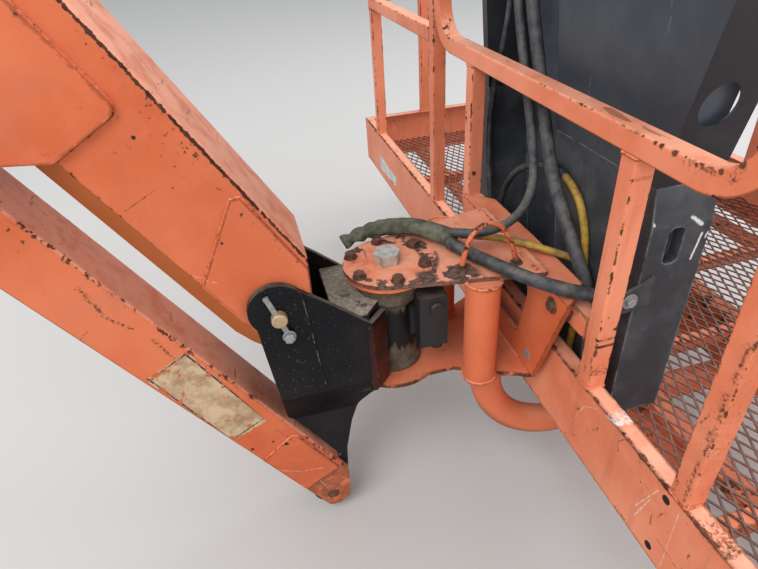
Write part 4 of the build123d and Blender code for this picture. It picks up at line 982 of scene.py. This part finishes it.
for name, across, length, stiffness, cover, points in HOSES:
    hose = route(name.replace("hose_", "") + "_hose", points, across * MM / 2)
    hose.data.materials.append(cover or two_tone_hose())
    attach(hose, "platform")
    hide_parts(name)

# The canvas sleeve is a crumpled tube that follows its route's spline
SIDES = 36
guide = route("sleeve_line", SLEEVE, 0.0)
drawn = bpy.data.meshes.new_from_object(guide)
sleeve_path = [v.co.copy() for v in drawn.vertices]
bpy.data.objects.remove(guide)


def crumple(t):
    """The sleeve's radii at a share of its length: flattened, folded, and gathered at its first end."""
    gathered = math.exp(-(t / 0.22) ** 2)
    radii = []
    for k in range(SIDES):
        a = 2 * math.pi * k / SIDES
        fold = 0.5 + 0.5 * math.sin(3 * a + 7 * t + 1.5 * math.sin(9 * t))
        crease = 0.5 + 0.5 * math.sin(58 * t + 2.2 * math.sin(2 * a + 4 * t))
        ripple = 0.5 + 0.5 * math.sin(7 * a - 21 * t)
        hollow = 0.05 * fold + (0.03 + 0.34 * gathered) * crease + 0.04 * ripple + 0.12 * gathered
        flat = 1.0 / math.hypot(math.cos(a) / 21.0, math.sin(a) / 15.5)
        radii.append(flat * MM * (1.0 - hollow))
    return radii


sleeve_lot = Lot()
sleeve_lot.tube(sleeve_path, crumple, SIDES, level=True)
sleeve = sleeve_lot.make("canvas_sleeve", canvas(), "platform", smooth=True)
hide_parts("hose_sleeve")

# Floor, world, lights and camera
FLOOR_REACH = 30
floor_low = cad_low[2] - 0.02
mesh = bpy.data.meshes.new("stage_floor")
square = [(x * FLOOR_REACH, y * FLOOR_REACH, floor_low) for x, y in ((-1, -1), (1, -1), (1, 1), (-1, 1))]
mesh.from_pydata(square, [], [(0, 1, 2, 3)])
floor = bpy.data.objects.new("stage_floor", mesh)
bpy.context.collection.objects.link(floor)
pale = Shader("stage_pale")
mesh.materials.append(pale.finish((0.54, 0.53, 0.515), 0.9))

world = bpy.data.worlds.new("soft_sky")
bpy.context.scene.world = world
world.use_nodes = True
world.node_tree.nodes["Background"].inputs[0].default_value = (0.93, 0.96, 1.0, 1)
world.node_tree.nodes["Background"].inputs[1].default_value = 0.75


def lamp(name, at, look, size, power):
    """A square lamp that looks at a point."""
    data = bpy.data.lights.new(name, "AREA")
    data.size = size
    data.energy = power
    light = bpy.data.objects.new(name, data)
    bpy.context.collection.objects.link(light)
    light.location = at
    light.rotation_mode = "QUATERNION"
    light.rotation_quaternion = (Vector(look) - Vector(at)).to_track_quat("-Z", "Y")


rotator = SWING[:2] + [FLOOR_Z]
lamp("key", (-2.8, -3.4, 4.2), rotator, 5.0, 380)
lamp("fill", (5.2, 0.5, 3.6), rotator, 5.0, 260)
lamp("low_fill", (3.8, -3.6, -0.2), (0.7, 0.0, -1.2), 2.2, 55)

camera = bpy.data.cameras.new("camera")
camera.sensor_width = 36.0
camera.lens = CAMERA_LENS
camera.clip_start = 0.05
eye = bpy.data.objects.new("camera", camera)
bpy.context.collection.objects.link(eye)
back = CAMERA_RIGHT.cross(CAMERA_UP)
turn = Matrix((CAMERA_RIGHT, CAMERA_UP, back)).transposed()
eye.matrix_world = Matrix.Translation(plat(0, 0, 0) + CAMERA_OFF) @ turn.to_4x4()
bpy.context.scene.camera = eye
bpy.context.scene.view_settings.view_transform = "Standard"
